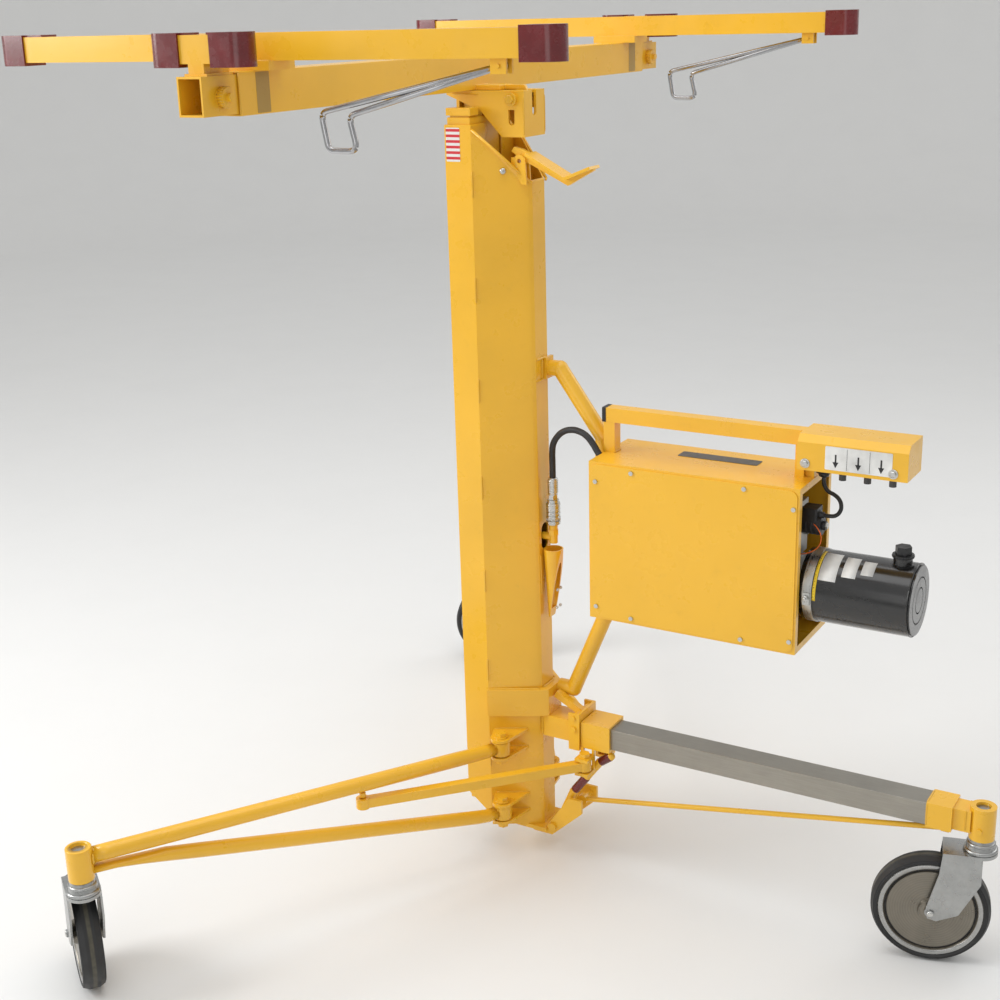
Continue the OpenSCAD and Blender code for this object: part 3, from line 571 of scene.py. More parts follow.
def hose_fittings():
    """The hose's crimped ferrule over the coupling, and the coupling's rings and knurl."""
    bm = bmesh.new()
    profile = [(0, 0.0068), (0.002, 0.0092)]
    for i in range(6):
        z = 0.004 + i * 0.0042
        profile += [(z, 0.0094), (z + 0.0012, 0.0100), (z + 0.0028, 0.0100), (z + 0.0038, 0.0092)]
    profile += [(0.031, 0.0084), (0.033, 0.0066)]
    add_lathe(bm, at(0.135, 0, 0.7475), Z, profile, 40)
    new_piece("hose_ferrule", as_mesh("hose_ferrule", bm), fastener, "root")
    bm = bmesh.new()
    for z in (0.6935, 0.7035, 0.7115, 0.7195, 0.7285):
        add_lathe(bm, at(0.135, 0, z), Z, [(-0.0012, 0.0128), (-0.0006, 0.0136), (0.0006, 0.0136),
                  (0.0012, 0.0128)], 40)
    new_piece("coupler_rings", as_mesh("coupler_rings", bm), coupler, "root")
    bm = bmesh.new()
    for k in range(30):
        t = 2 * math.pi * k / 30
        foot = at(0.135 + 0.0130 * math.cos(t), 0.0130 * math.sin(t), 0.6965)
        add_tube(bm, [foot, foot + 0.005 * Z], [0.0006, 0.0006], 6)
    new_piece("coupler_knurl", as_mesh("coupler_knurl", bm), coupler, "root")


hose_fittings()

# ---- mast ----


HOUSING_TOP = local_box("cylinder_housing")[1].z


def mast_details():
    seam = []
    for side in SIDES:
        for i in range(7):
            z = 0.19 + i * 0.185
            seam.append(((MAST_X, side * MAST_Y, z), (MAST_X, side * MAST_Y, z + 0.045)))
    bead_piece("seam_stitches", seam, 0.0022)

    lo, hi = local_box("base_collar")
    ring = []
    for side in SIDES:
        ring.append(((MAST_X, side * (MAST_Y + 0.001), hi.z), (0.116, side * 0.030, hi.z)))
        ring.append(((MAST_X + 0.001, side * MAST_Y, lo.z), (MAST_X + 0.001, side * MAST_Y, hi.z)))
    ring.append(((0.118, -0.022, hi.z), (0.118, 0.022, hi.z)))
    bead_piece("collar_welds", ring, 0.0026)

    ears = []
    for side in SIDES:
        for z in (0.266, 0.228, 0.126, 0.090):
            for dz in (0, 0.006):
                ears.append(((0.036, side * 0.0715, z + dz), (0.092, side * 0.0395, z + dz)))
    bead_piece("ear_welds", ears, 0.0022)

    brackets = [((0.1165, -0.020, z), (0.1165, 0.016, z)) for z in (0.966, 1.006)]
    brackets += [((0.117, y, 0.968), (0.117, y, 1.004)) for y in (-0.0005, 0.028)]
    bead_piece("arm_bracket_welds", brackets, 0.0022)

    bm = bmesh.new()
    add_lathe(bm, at(0.074, -0.0505, 1.346), Vector((0.5, -0.87, 0)), [
        (-0.002, 0.003), (0.004, 0.003), (0.005, 0.0050), (0.007, 0.0058),
        (0.010, 0.0050), (0.011, 0.003)], 28)
    new_piece("housing_knob", as_mesh("housing_knob", bm), coupler, "root")

    bm = bmesh.new()
    for side in SIDES:
        top = at(MAST_X + 0.001, side * 0.0772, HOUSING_TOP)
        low = at(0.1155, side * 0.0300, HOUSING_TOP - 0.0905)
        add_tube(bm, [top, low], [0.0026, 0.0026], 10)
        add_tube(bm, [low, low + Vector((0.0030, -side * 0.007, -0.002))], [0.0026, 0.0022], 10)
    new_piece("slope_lips", as_mesh("slope_lips", bm), paint, "root")

    bm = bmesh.new()
    add_slab(bm, at(-0.010, -MAST_Y - 0.0001, MAST_TOP - 0.034), X, Z, (0.028, 0.058), 0.0003, 0.002)
    new_piece("mast_film", as_mesh("mast_film", bm), red_stripes, "root", False)


mast_details()


def guard_rivets():
    """Two rows of rivet heads on the coupler's holster."""
    bm = bmesh.new()
    lo = local_box("coupler_guard")[0]
    for z in (lo.z + 0.022, lo.z + 0.058):
        for y in (-0.007, 0.007):
            out = 0.0125 + 0.0005 * (z - lo.z) / 0.01
            place = at(lo.x + 0.018 + out * 0.75, y, z)
            add_lathe(bm, place, X, [
                (-0.002, 0.0030), (0.0006, 0.0030), (0.0014, 0.0022), (0.0018, 0.0008)], 16)
    new_piece("guard_rivets", as_mesh("guard_rivets", bm), fastener, "root")
    lines = [((MAST_X + 0.0895, side * 0.017, 0.55), (MAST_X + 0.0895, side * 0.019, 0.63))
             for side in SIDES]
    bead_piece("guard_welds", lines, 0.0018)


guard_rivets()


def rear_leg_details():
    lo, hi = local_box("rear_leg_root")
    lines = []
    for side in SIDES:
        lines.append(((0.1175, side * 0.0265, 0.259), (0.1175, side * 0.0265, 0.299)))
    lines.append(((0.1175, -0.024, 0.3015), (0.1175, 0.024, 0.3015)))
    lines.append(((0.1985, -0.030, 0.257), (0.1985, 0.030, 0.257)))
    bead_piece("rear_root_welds", lines, 0.0024)
    lo, hi = local_box("rear_leg_end")
    lines = []
    for side in SIDES:
        lines.append(((lo.x + 0.001, side * 0.026, lo.z + 0.012),
                      (lo.x + 0.001, side * 0.026, hi.z - 0.006)))
        lines.append(((0.9335, side * 0.0195, 0.262), (0.9335, side * 0.0195, 0.300)))
    lines.append(((0.8685, -0.0235, 0.3015), (0.8685, 0.0235, 0.3015)))
    bead_piece("rear_end_welds", lines, 0.002)


rear_leg_details()

# ---- power unit ----


def case_details():
    """Painted shade of the screw recesses, and the handle cap, top plate and welds of the power unit's case.
    """
    hi = local_box("case_shell")[1]
    cover_lo = local_box("front_cover")[0]

    # Flat black crosses painted as the shade in the screw heads' recesses.
    bm = bmesh.new()
    for screw_x, screw_z in ((0.014, 0.262), (0.084, 0.286), (0.294, 0.286), (0.382, 0.262),
                             (0.014, 0.024), (0.084, 0.012), (0.294, 0.012), (0.382, 0.024)):
        centre = at(cover_lo.x - 0.004 + screw_x, cover_lo.y - 0.0024, cover_lo.z - 0.004 + screw_z)
        for across, up in ((X, Z), (Z, X)):
            add_slab(bm, centre, across, up, (0.0042, 0.0011), -0.0003 if across is X else 0.0003)
    new_piece("screw_recess_painted_shade", as_mesh("screw_recess_painted_shade", bm), ink_and_painted_shade, "root", False)

    bm = bmesh.new()
    handle_lo, handle_hi = local_box("carry_handle")
    middle = at(handle_lo.x + 0.0004, (handle_lo.y + handle_hi.y) / 2, handle_hi.z - 0.013)
    add_slab(bm, middle + 0.0068 * X, -Y, Z, (0.0272, 0.0272), 0.0074, 0.002)
    new_piece("handle_plug", as_mesh("handle_plug", bm), black_plastic, "root", False)

    bm = bmesh.new()
    add_slab(bm, at(cover_lo.x + 0.200, cover_lo.y + 0.112, hi.z), X, Y, (0.150, 0.030), 0.0004, 0.003)
    new_piece("top_plate", as_mesh("top_plate", bm), grey_film, "root", False)

    bm = bmesh.new()
    for x in (0.2455, 0.2675):
        add_bead(bm, at(x, -0.0075, hi.z + 0.001), at(x, 0.0175, hi.z + 0.001), 0.0018)
    for x in (0.606, 0.622):
        add_bead(bm, at(x, -0.0065, hi.z + 0.001), at(x, 0.0165, hi.z + 0.001), 0.0018)
    new_piece("handle_welds", as_mesh("handle_welds", bm), weld_paint, "root")


case_details()


HEAD_RISE = 0.060


def control_label():
    lo, hi = local_box("control_head")
    face = lo.y - 0.0001
    base = hi.z - HEAD_RISE
    middle_x = lo.x + 0.104
    middle_z = base + 0.026
    bm = bmesh.new()
    add_slab(bm, at(middle_x, face, middle_z), X, Z, (0.112, 0.040), 0.0004, 0.002)
    new_piece("control_label", as_mesh("control_label", bm), white_film, "root", False)
    bm = bmesh.new()
    for x in (-0.038, 0, 0.038):
        tip = at(middle_x + x, face - 0.00045, middle_z - 0.016)
        add_slab(bm, tip + 0.016 * Z, X, Z, (0.0028, 0.014), 0.0002)
        verts = [tip + d for d in (Vector((0, 0, 0)), Vector((0.005, 0, 0.010)), Vector((-0.005, 0, 0.010)))]
        low = [bm.verts.new(p) for p in verts]
        high = [bm.verts.new(p - 0.0002 * Y) for p in verts]
        bm.faces.new(low)
        bm.faces.new(list(reversed(high)))
        for k in range(3):
            bm.faces.new((low[k], high[k], high[(k + 1) % 3], low[(k + 1) % 3]))
    for x in (-0.019, 0.019):
        add_slab(bm, at(middle_x + x, face - 0.00045, middle_z), X, Z, (0.0005, 0.036), 0.0002)
    new_piece("label_arrows", as_mesh("label_arrows", bm), ink_and_painted_shade, "root", False)

    bm = bmesh.new()
    for x in (lo.x + 0.014, hi.x - 0.024):
        centre = at(x, face, base + 0.012)
        add_lathe(bm, centre, -Y, [(-0.001, 0.0082), (0.0012, 0.0082), (0.0016, 0.0070)], 24)
        add_lathe(bm, centre, -Y, [(0.0, 0.0056), (0.0034, 0.0056), (0.0042, 0.0046)], 6)
    new_piece("head_bolts", as_mesh("head_bolts", bm), fastener, "root", False)


control_label()


def cylinder_patch(name, look, centre, radius, x0, x1, start, end, lift=0.0006, steps=28):
    """A printed film wrapped on a drum that lies along X, between two angles from the top."""
    bm = bmesh.new()
    rows = []
    for i in range(steps + 1):
        t = math.radians(start + (end - start) * i / steps)
        out = Vector((0, -math.sin(t), math.cos(t)))
        rows.append([[bm.verts.new(centre + x * X + (radius + r) * out) for x in (x0, x1)]
                     for r in (0.0001, lift)])
    for a, b in zip(rows, rows[1:]):
        bm.faces.new((a[1][0], a[1][1], b[1][1], b[1][0]))
        bm.faces.new((a[0][0], b[0][0], b[0][1], a[0][1]))
        bm.faces.new((a[0][0], a[1][0], b[1][0], b[0][0]))
        bm.faces.new((a[0][1], b[0][1], b[1][1], a[1][1]))
    for row in (rows[0], rows[-1]):
        bm.faces.new((row[0][0], row[0][1], row[1][1], row[1][0]))
    return new_piece(name, as_mesh(name, bm), look, "root")


def tank_details():
    lo, hi = local_box("oil_tank")
    strap_lo, strap_hi = local_box("tank_strap")
    axis_y = (lo.y + hi.y) / 2
    radius = (hi.y - lo.y) / 2
    axis_z = lo.z + radius
    centre = at(0, axis_y, axis_z)
    cylinder_patch("tank_film_wide", white_film, centre, radius, lo.x + 0.032, lo.x + 0.062, 8, 62)
    cylinder_patch("tank_film_middle", white_film, centre, radius, lo.x + 0.070, lo.x + 0.094, 12, 52)
    cylinder_patch("tank_film_small", white_film, centre, radius, lo.x + 0.101, lo.x + 0.122, 16, 44)
    cylinder_patch("tank_yellow_film", yellow_film, centre, radius, lo.x + 0.0255, lo.x + 0.031, 4, 96)
    bm = bmesh.new()
    for x in (lo.x + 0.0275, hi.x - 0.0045):
        add_lathe(bm, at(x, axis_y, axis_z), X, [(-0.0014, radius - 0.001), (-0.0008, radius + 0.0006),
                  (0.0008, radius + 0.0006), (0.0014, radius - 0.001)], 72, True)
    for r in (0.022, 0.040):
        add_lathe(bm, at(hi.x - 0.0008, axis_y, axis_z), X, [(0, r - 0.002), (0.0008, r - 0.001),
                  (0.0008, r + 0.001), (0, r + 0.002)], 48, True)
    new_piece("tank_seams", as_mesh("tank_seams", bm), tank_paint, "root")
    bm = bmesh.new()
    place = at((strap_lo.x + strap_hi.x) / 2, axis_y - radius - 0.005, axis_z - 0.003)
    add_lathe(bm, place, -Y, [(-0.001, 0.0055), (0.002, 0.0055), (0.0028, 0.0046)], 6)
    add_lathe(bm, place, -Y, [(-0.002, 0.0026), (0.0048, 0.0026), (0.0054, 0.0018)], 16)
    new_piece("strap_bolt", as_mesh("strap_bolt", bm), fastener, "root", False)
    cap_lo, cap_hi = local_box("filler_cap")
    bm = bmesh.new()
    centre = at((cap_lo.x + cap_hi.x) / 2, (cap_lo.y + cap_hi.y) / 2, cap_lo.z + 0.0008)
    for k in range(24):
        t = 2 * math.pi * k / 24
        foot = centre + 0.0176 * Vector((math.cos(t), math.sin(t), 0))
        add_tube(bm, [foot, foot + 0.0036 * Z], [0.0011, 0.0009], 8)
    new_piece("filler_ribs", as_mesh("filler_ribs", bm), black_plastic, "root")


tank_details()


def pump_details():
    lo, hi = local_box("solenoid_valve")
    bm = bmesh.new()
    for i in range(4):
        x = lo.x + 0.008 + i * 0.009
        add_lathe(bm, at(x, -0.010, 0.768), X, [
            (-0.0016, 0.0168), (-0.001, 0.0176), (0.001, 0.0176), (0.0016, 0.0168)], 36)
    new_piece("coil_ribs", as_mesh("coil_ribs", bm), black_plastic, "root")
    bm = bmesh.new()
    add_lathe(bm, at(hi.x - 0.001, -0.010, 0.768), X, [(0, 0.0062), (0.0032, 0.0062), (0.0040, 0.0052)], 6)
    add_lathe(bm, at(0.6178, 0.022, 0.745), X, [(-0.001, 0.0085), (0.007, 0.0085), (0.0078, 0.0072)], 6)
    add_lathe(bm, at(0.6178, -0.022, 0.728), X, [(-0.001, 0.0070), (0.006, 0.0070), (0.0068, 0.0060)], 6)
    new_piece("block_plugs", as_mesh("block_plugs", bm), fastener, "root", False)
    bm = bmesh.new()
    for i in range(5):
        x = 0.300 + i * 0.036
        add_lathe(bm, at(x, 0.005, 0.655), X, [
            (-0.002, 0.0516), (-0.001, 0.0526), (0.001, 0.0526), (0.002, 0.0516)], 48)
    new_piece("motor_ribs", as_mesh("motor_ribs", bm), motor_paint, "root")


pump_details()


def cable_fittings():
    """The black gland under the control head, the plug on the valve, and a thin control wire."""
    bm = bmesh.new()
    add_lathe(bm, at(0.655, 0, 0.8515), Z, [(0, 0.0042), (0.0006, 0.0082), (0.0050, 0.0098), (0.0070,
            0.0098),
              (0.0074, 0.0136), (0.0190, 0.0136), (0.0202, 0.0128)], 32)
    for k in range(12):
        t = 2 * math.pi * k / 12
        foot = at(0.655 + 0.0134 * math.cos(t), 0.0134 * math.sin(t), 0.8600)
        add_tube(bm, [foot, foot + 0.0100 * Z], [0.0012, 0.0012], 8)
    new_piece("cable_gland", as_mesh("cable_gland", bm), black_plastic, "root")
    bm = bmesh.new()
    add_slab(bm, at(0.6400, -0.010, 0.7760), X, Y, (0.0275, 0.0310), 0.0235, 0.003)
    add_lathe(bm, at(0.6515, -0.010, 0.7860), X, [(0, 0.0086), (0.0030, 0.0086), (0.0036, 0.0064),
              (0.0100, 0.0050), (0.0110, 0.0036)], 28)
    new_piece("valve_plug", as_mesh("valve_plug", bm), black_plastic, "root", False)
    start, end = at(0.6480, -0.0245, 0.7740), at(0.6180, -0.0300, 0.7180)
    points = [start, start + Vector((0.010, -0.006, -0.006)), start + Vector((0.017, -0.009, -0.018)),
              start + Vector((0.016, -0.011, -0.032)), start + Vector((0.006, -0.011, -0.044)),
              end + Vector((0.012, -0.003, 0.001)), end]
    wire = cord_curve("valve_wire", points, 0.0018, orange)


cable_fittings()

# ---- casters ----


def caster_details(side, fork_body, roller_body):
    stem, hub, axle = CASTERS[side]
    bm = bmesh.new()
    add_lathe(bm, stem + 0.2220 * Z, Z, [(-0.0010, 0.0262), (0.0006, 0.0284), (0.0030, 0.0290),
            (0.0054, 0.0284),
              (0.0068, 0.0262)], 48)
    add_lathe(bm, stem + 0.2345 * Z, Z, [(-0.001, 0.0226), (0.001, 0.0244), (0.0036, 0.0244), (0.0054,
            0.0222)], 48)
    new_piece(side + "_race", as_mesh(side + "_race", bm), zinc, fork_body)

    bm = bmesh.new()
    for sign in SIDES:
        end = hub + sign * 0.0305 * axle
        add_lathe(bm, end, sign * axle, [(0, 0.0060), (0.0020, 0.0058), (0.0032, 0.0040), (0.0036,
                0.0015)], 24)
    new_piece(side + "_axle_ends", as_mesh(side + "_axle_ends", bm), fastener, fork_body)

    bm = bmesh.new()
    for sign in SIDES:
        add_lathe(bm, hub, sign * axle, [(0.0165, 0.0800), (0.0176, 0.0812), (0.0188, 0.0872), (0.0184,
                0.0888),
                  (0.0150, 0.0880), (0.0150, 0.0806)], 72, True)
    new_piece(side + "_rim", as_mesh(side + "_rim", bm), rim_metal, roller_body)
    bm = bmesh.new()
    # A thin black ring painted as the shade in the groove just inside each rim.
    for sign in SIDES:
        add_lathe(bm, hub, sign * axle, [(0.0128, 0.0752), (0.0134, 0.0752), (0.0134, 0.0778), (0.0128,
                0.0778)],
                  72, True)
    new_piece(side + "_rim_groove_painted_shade", as_mesh(side + "_rim_groove_painted_shade", bm), ink_and_painted_shade, roller_body)

    bm = bmesh.new()
    for sign in SIDES:
        for radius, out in ((0.0935, 0.0196), (0.0965, 0.0184)):
            add_lathe(bm, hub + sign * (out - 0.0008) * axle, sign * axle, [
                (0, radius - 0.0009), (0.0010, radius - 0.0004), (0.0010, radius + 0.0004), (0,
                        radius + 0.0009)],
                72, True)
    new_piece(side + "_tyre_ribs", as_mesh(side + "_tyre_ribs", bm), tyre, roller_body)


caster_details("rear", "rear_swivel", "rear_roller")
caster_details("near", "near_swivel", "near_roller")
caster_details("far", "far_swivel", "far_roller")

# ---- legs and links ----

LEG_EYE_R = 0.018
SOCKET_R = 0.022
STEM_BORE = 0.01275
PIN_BORE = 0.00705
UPPER_Z = 0.250
LOWER_Z = 0.111


def add_ring(bm, foot, low, high, bore, radius, sides=40):
    """An upright ring with softened rims, between two heights above foot."""
    edge = 0.0012
    add_lathe(bm, foot, Z, [(low, bore), (low, radius - edge), (low + edge, radius), (high - edge, radius),
              (high, radius - edge), (high, bore)], sides, True)


def add_oval(bm, stations, across, sides=20):
    """A tube through (point, half width, half height) stations, with its width along across."""
    rings = []
    for i, (point, half_width, half_height) in enumerate(stations):
        before = stations[max(i - 1, 0)][0]
        after = stations[min(i + 1, len(stations) - 1)][0]
        up = across.cross(after - before).normalized()
        rings.append([bm.verts.new(point + half_width * math.cos(2 * math.pi * k / sides) * across
                      + half_height * math.sin(2 * math.pi * k / sides) * up) for k in range(sides)])
    for low, high in zip(rings, rings[1:]):
        for k in range(sides):
            m = (k + 1) % sides
            bm.faces.new((low[k], low[m], high[m], high[k]))
    bm.faces.new(rings[0])
    bm.faces.new(list(reversed(rings[-1])))


def leg_shell(side):
    """A leg's two tubes, flattened towards their hinge eyes and towards the caster's socket."""
    hinge = joint_places[side + "_leg_fold"]
    tip = CASTERS[side][0]
    span = Vector((tip.x - hinge.x, tip.y - hinge.y, 0))
    along = span.normalized()
    across = along.cross(Z)
    base = Vector((hinge.x, hinge.y, 0))

    def place(d, z):
        return base + d * along + z * Z

    bm = bmesh.new()
    rise = (0.285 - UPPER_Z) / (span.length - 0.050)
    stations = [(0.016, 0.0130, 0.0125), (0.036, 0.0152, 0.0125), (0.060, 0.0158, 0.0128), (0.100,
            0.0146, 0.0142),
                (0.200, 0.0144, 0.0144), (0.400, 0.0144, 0.0144), (0.600, 0.0144, 0.0144), (0.700,
                        0.0144, 0.0144),
                (0.770, 0.0148, 0.0142), (0.810, 0.0146, 0.0140)]
    add_oval(bm, [(place(d, UPPER_Z + rise * max(d - 0.040, 0)), w, h) for d, w, h in stations], across)
    climb = (0.264 - LOWER_Z) / (span.length - 0.090)
    stations = [(0.016, 0.0130, 0.0118), (0.036, 0.0150, 0.0120), (0.060, 0.0154, 0.0124), (0.100,
            0.0136, 0.0134),
                (0.300, 0.0134, 0.0134), (0.500, 0.0134, 0.0134), (0.620, 0.0134, 0.0134), (0.680,
                        0.0136, 0.0124)]
    lower = [(place(d, LOWER_Z + climb * max(d - 0.040, 0)), w, h) for d, w, h in stations]
    lower += [(place(0.720, 0.2500), 0.0140, 0.0090), (place(0.765, 0.2560), 0.0140, 0.0062),
              (place(0.810, 0.2590), 0.0138, 0.0062)]
    add_oval(bm, lower, across)
    for z in (UPPER_Z, LOWER_Z):
        add_ring(bm, base, z - 0.014, z + 0.014, PIN_BORE, LEG_EYE_R)
    foot = Vector((tip.x, tip.y, 0))
    add_ring(bm, foot, 0.246, 0.306, STEM_BORE, SOCKET_R, 48)
    reach = LINK_REACH[side]
    add_ring(bm, place(reach, 0), 0.2355, 0.2455, 0.0004, 0.0060, 24)
    shell = new_piece(side + "_leg_shell", as_mesh(side + "_leg_shell", bm), paint,
                      side + "_leg")
    shell.modifiers.new("normals", "WEIGHTED_NORMAL")
    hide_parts(side + "_leg")

    bm = bmesh.new()
    for z in (UPPER_Z, LOWER_Z):
        for sign in SIDES:
            edge = place(0.0165, z) + sign * 0.0085 * across
            add_bead(bm, edge - 0.012 * Z, edge + 0.012 * Z, 0.0016)
    for half in (0.0125, -0.0125):
        edge = place(span.length - SOCKET_R - 0.0005, 0.284 + half)
        add_bead(bm, edge - 0.010 * across, edge + 0.010 * across, 0.0022)
    for sign in SIDES:
        edge = place(span.length - SOCKET_R + 0.003, 0.284) + sign * 0.0145 * across
        add_bead(bm, edge - 0.010 * Z, edge + 0.010 * Z, 0.0022)
    new_piece(side + "_leg_welds", as_mesh(side + "_leg_welds", bm), weld_paint,
              side + "_leg")

    bm = bmesh.new()
    screw = foot + (SOCKET_R - 0.0005) * across + 0.262 * Z
    add_lathe(bm, screw, across, [(-0.001, 0.0050), (0.0024, 0.0050), (0.0032, 0.0042)], 6)
    new_piece(side + "_socket_screw", as_mesh(side + "_socket_screw", bm), fastener,
            side + "_leg",
              False)


# Distance along each leg at which the sleeve's link meets it, from the link's own box.
LINK_REACH = {}
for side in ("near", "far"):
    hinge = joint_places[side + "_leg_fold"]
    lo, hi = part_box(side + "_link")
    tip = CASTERS[side][0]
    along = Vector((tip.x - hinge.x, tip.y - hinge.y, 0)).normalized()
    LINK_REACH[side] = (lo.x + 0.013 - hinge.x) / along.x
    leg_shell(side)


def foot_latch_grips():
    """The moulded sleeves on the foot pedal's bar."""
    bm = bmesh.new()
    bends = [at(x, -0.018, z) for x, z in ((0.180, 0.144), (0.238, 0.222), (0.262, 0.240))]
    for first, last, start, end in ((bends[0], bends[1], 0.06, 0.5), (bends[1], bends[2], 0.1, 1.0)):
        a, b = first.lerp(last, start), first.lerp(last, end)
        steps = 14
        points = [a.lerp(b, i / steps) for i in range(steps + 1)]
        radii = [0.0084] + [0.0089 if i % 2 else 0.0086 for i in range(1, steps)] + [0.0084]
        add_tube(bm, points, radii, 24)
    new_piece("latch_grips", as_mesh("latch_grips", bm), maroon, "foot_latch")


foot_latch_grips()

# ---- head and cradle ----


def head_details():
    lo, hi = local_box("head_block")
    lines = []
    for side in SIDES:
        lines.append(((lo.x + 0.012, side * 0.0372, 1.4745), (0.020, side * 0.0372, 1.4745)))
        lines.append(((hi.x - 0.0005, side * 0.0368, 1.406), (hi.x - 0.0005, side * 0.0368, 1.470)))
    bead_piece("head_welds", lines, 0.0018, "head")

    bm = bmesh.new()
    for side in SIDES:
        centre = at(0.088, side * 0.0438, 1.466)
        add_lathe(bm, centre, side * Y, [(-0.0005, 0.0112), (0.0010, 0.0112), (0.0014, 0.0100)], 32)
        add_lathe(bm, centre, side * Y, [(0, 0.0078), (0.0048, 0.0078), (0.0056, 0.0066)], 6)
    new_piece("tilt_bolt_ends", as_mesh("tilt_bolt_ends", bm), weld_paint, "head", False)


head_details()


def rounded(points, radius, steps=6):
    """The points with each inner corner replaced by a bend of that radius."""
    path = [points[0]]
    for before, corner, after in zip(points, points[1:], points[2:]):
        a, b = (before - corner).normalized(), (after - corner).normalized()
        half = a.angle(b) / 2
        reach = min(radius / math.tan(half), (before - corner).length * 0.48, (after - corner).length * 0.48)
        start, end = corner + reach * a, corner + reach * b
        for i in range(steps + 1):
            t = i / steps
            path.append(start * (1 - t) ** 2 + corner * 2 * t * (1 - t) + end * t ** 2)
    path.append(points[-1])
    return path


def hook_piece(name, body):
    """A hook of one bent wire, whose end runs back to its pivot."""
    lo, hi = local_box(name)
    y = (lo.y + hi.y) / 2
    corners = [(0.395, 1.544), (0.098, 1.482), (0.108, 1.4295), (0.158, 1.4295),
               (0.146, 1.478), (0.392, 1.5432)]
    path = rounded([at(x, y, z) for x, z in corners], 0.012)
    bm = bmesh.new()
    add_tube(bm, path, [0.0044] * len(path), 16)
    for sign in SIDES:
        add_lathe(bm, at(0.395, y + sign * 0.0028, 1.544), Y, [(-0.0026, 0.0032), (-0.0026, 0.0070),
                  (-0.0018, 0.0078), (0.0018, 0.0078), (0.0026, 0.0070), (0.0026, 0.0032)], 28, True)
    wire = new_piece(name + "_wire", as_mesh(name + "_wire", bm), chrome, body)
    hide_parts(name)


hook_piece("near_hook", "near_hook")
hook_piece("far_hook", "far_hook")

BEAM_W = 0.0508
BEAM_H = 0.0605


def cradle_details():
    lo, hi = local_box("crossbeam")
    arms_hi = local_box("cross_arms")[1]
    top = hi.z
    bottom = top - BEAM_H
    arm_y = arms_hi.y - 0.030
    lines = []
    for side in SIDES:
        for x in (lo.x, lo.x + BEAM_W):
            lines.append(((x, side * (arm_y - 0.028), top + 0.001), (x, side * (arm_y + 0.028),
                    top + 0.001)))
        for y in (arm_y - 0.0195, arm_y + 0.0195):
            lines.append(((-0.056, side * y, arms_hi.z - 0.0385), (0.030, side * y, arms_hi.z - 0.0385)))
    bead_piece("riser_welds", lines, 0.002, "cradle")

    bm = bmesh.new()
    right = lo.x + BEAM_W - 0.0013
    for side in SIDES:
        y = side * (hi.y - 0.0004)
        ring = ((lo.x + 0.0013, bottom + 0.0013), (right, bottom + 0.0013), (right, top - 0.0013),
                (lo.x + 0.0013, top - 0.0013))
        for (x0, z0), (x1, z1) in zip(ring, ring[1:] + ring[:1]):
            add_tube(bm, [at(x0, y, z0), at(x1, y, z1)], [0.0013, 0.0013], 8)
    new_piece("beam_mouths", as_mesh("beam_mouths", bm), weld_paint, "cradle")


cradle_details()


def beam_bands():
    """The darker bands near the crossbeam's ends."""
    lo, hi = local_box("crossbeam")
    bm = bmesh.new()
    for side in SIDES:
        for face, turn in ((lo.x, -Y), (lo.x + BEAM_W, Y)):
            add_slab(bm, at(face, side * (hi.y - 0.052), hi.z - BEAM_H / 2), turn, Z, (0.030,
                    BEAM_H - 0.004), 0.0003,
                     0.001)
    new_piece("beam_bands", as_mesh("beam_bands", bm), beam_film, "cradle", False)


beam_bands()


BEAM_HALF = 0.661
KNOB_OUT = 0.034


def outrigger_details(name, side):
    hi = local_box(name + "_outrigger")[1]
    knob_y = side * (BEAM_HALF + KNOB_OUT)
    face = hi.x
    bm = bmesh.new()
    start = face - 0.018
    for k in range(20):
        t = 2 * math.pi * k / 20
        foot = at(start + 0.0015, knob_y + 0.0138 * math.cos(t), 1.5085 + 0.0138 * math.sin(t))
        add_tube(bm, [foot, foot + 0.0095 * X], [0.0012, 0.0012], 8)
    new_piece(name + "_knob_ribs", as_mesh(name + "_knob_ribs", bm), weld_paint,
              name + "_outrigger")


outrigger_details("near", -1)
outrigger_details("far", 1)

# ---- edges ----

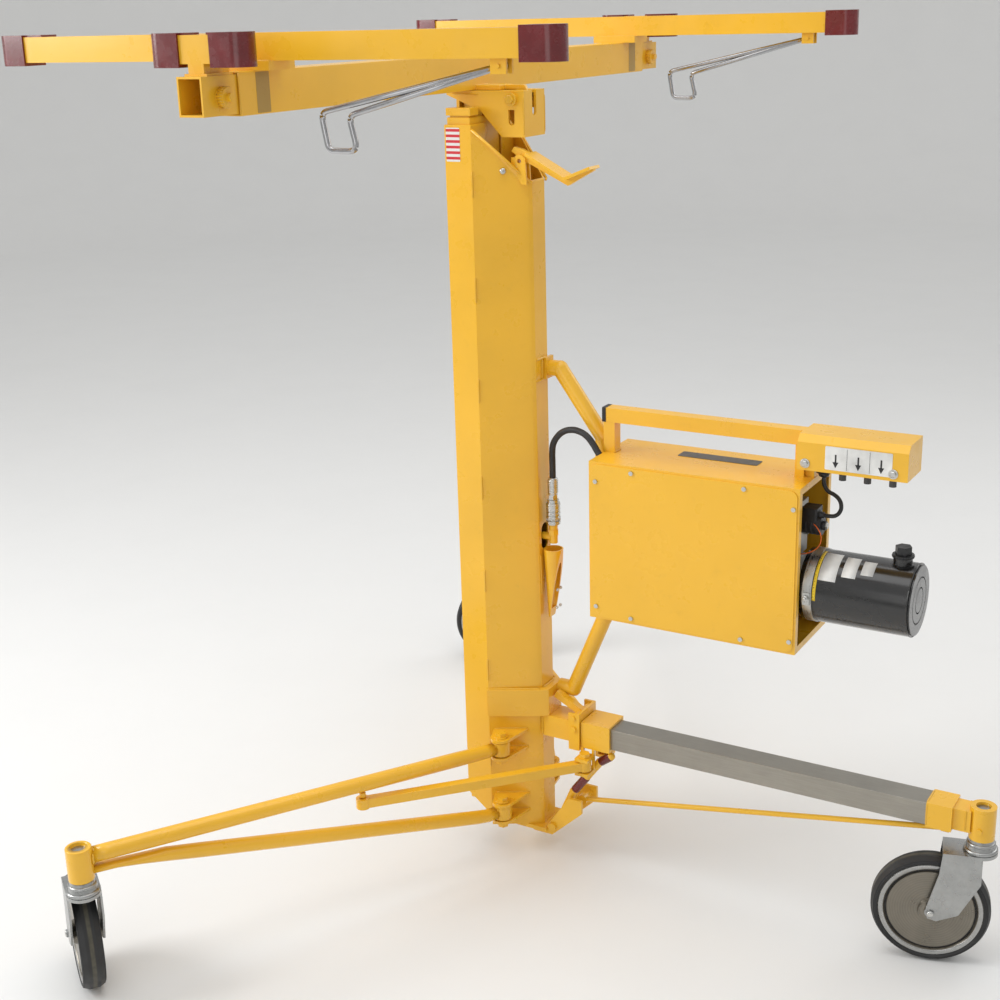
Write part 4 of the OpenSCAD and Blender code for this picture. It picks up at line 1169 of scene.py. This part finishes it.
for name in ("mast_channel", "cylinder_housing", "crossbeam", "cross_arms", "near_outrigger",
        "far_outrigger",
             "rear_leg_root", "rear_leg_tube", "rear_leg_end", "carry_handle", "control_head", "case_shell",
             "leg_sleeve", "near_link", "far_link", "base_collar", "mast_foot",
             "head_block", "inner_section", "middle_section", "top_latch", "pump_block"):
    soften(nodes[name], 0.0012)
for name in ("arm_caps", "near_outrigger_caps", "far_outrigger_caps"):
    soften(nodes[name], 0.008, 6, 30)
for name in ("rear_fork", "near_fork", "far_fork"):
    soften(nodes[name], 0.0022, 3)
soften(nodes["front_cover"], 0.0008)

# ---- stage ----


def add_floor():
    profile = [(0.0, 0.002), (0.0, 3.0), (0.0, 9.0)]
    for i in range(1, 13):
        t = math.pi / 2 * i / 12
        profile.append((3.0 * (1 - math.cos(t)), 9.0 + 3.0 * math.sin(t)))
    profile.append((6.0, 12.0))
    bm = bmesh.new()
    add_lathe(bm, Vector((0, 0, -0.0004)), Z, profile, 96)
    bm.faces.ensure_lookup_table()
    bm.faces.remove(bm.faces[-1])
    mesh = as_mesh("floor", bm)
    floor = bpy.data.objects.new("floor", mesh)
    bpy.context.collection.objects.link(floor)
    for face in mesh.polygons:
        face.use_smooth = True
    mesh.materials.append(painted("pale_floor", (0.8, 0.8, 0.79), 0.7, 0.0, 0.03, 0.02, 0.01))


add_floor()


def add_light(name, place, target, size, power, tint=(1, 1, 1)):
    data = bpy.data.lights.new(name, "AREA")
    data.shape = "RECTANGLE"
    data.size, data.size_y = size
    data.energy = power
    data.color = tint
    lamp = bpy.data.objects.new(name, data)
    bpy.context.collection.objects.link(lamp)
    aim = (target - place).to_track_quat("-Z", "Y")
    lamp.matrix_world = Matrix.Translation(place) @ aim.to_matrix().to_4x4()


middle = at(0.2, 0, 0.8)
add_light("key", at(-3.0, -2.3, 2.4), middle, (1.8, 1.8), 84)
add_light("fill", at(0.6, -3.5, 1.6), middle, (1.6, 1.6), 8)
add_light("top", at(0.1, -0.2, 3.9), middle, (3.0, 3.0), 44)
add_light("back", at(1.8, 2.8, 2.4), middle, (1.6, 1.4), 12)
world = bpy.data.worlds.new("studio")
bpy.context.scene.world = world
world.use_nodes = True
world.node_tree.nodes["Background"].inputs["Color"].default_value = (1, 1, 1, 1)
world.node_tree.nodes["Background"].inputs["Strength"].default_value = 0.72
bpy.context.scene.view_settings.view_transform = "Standard"
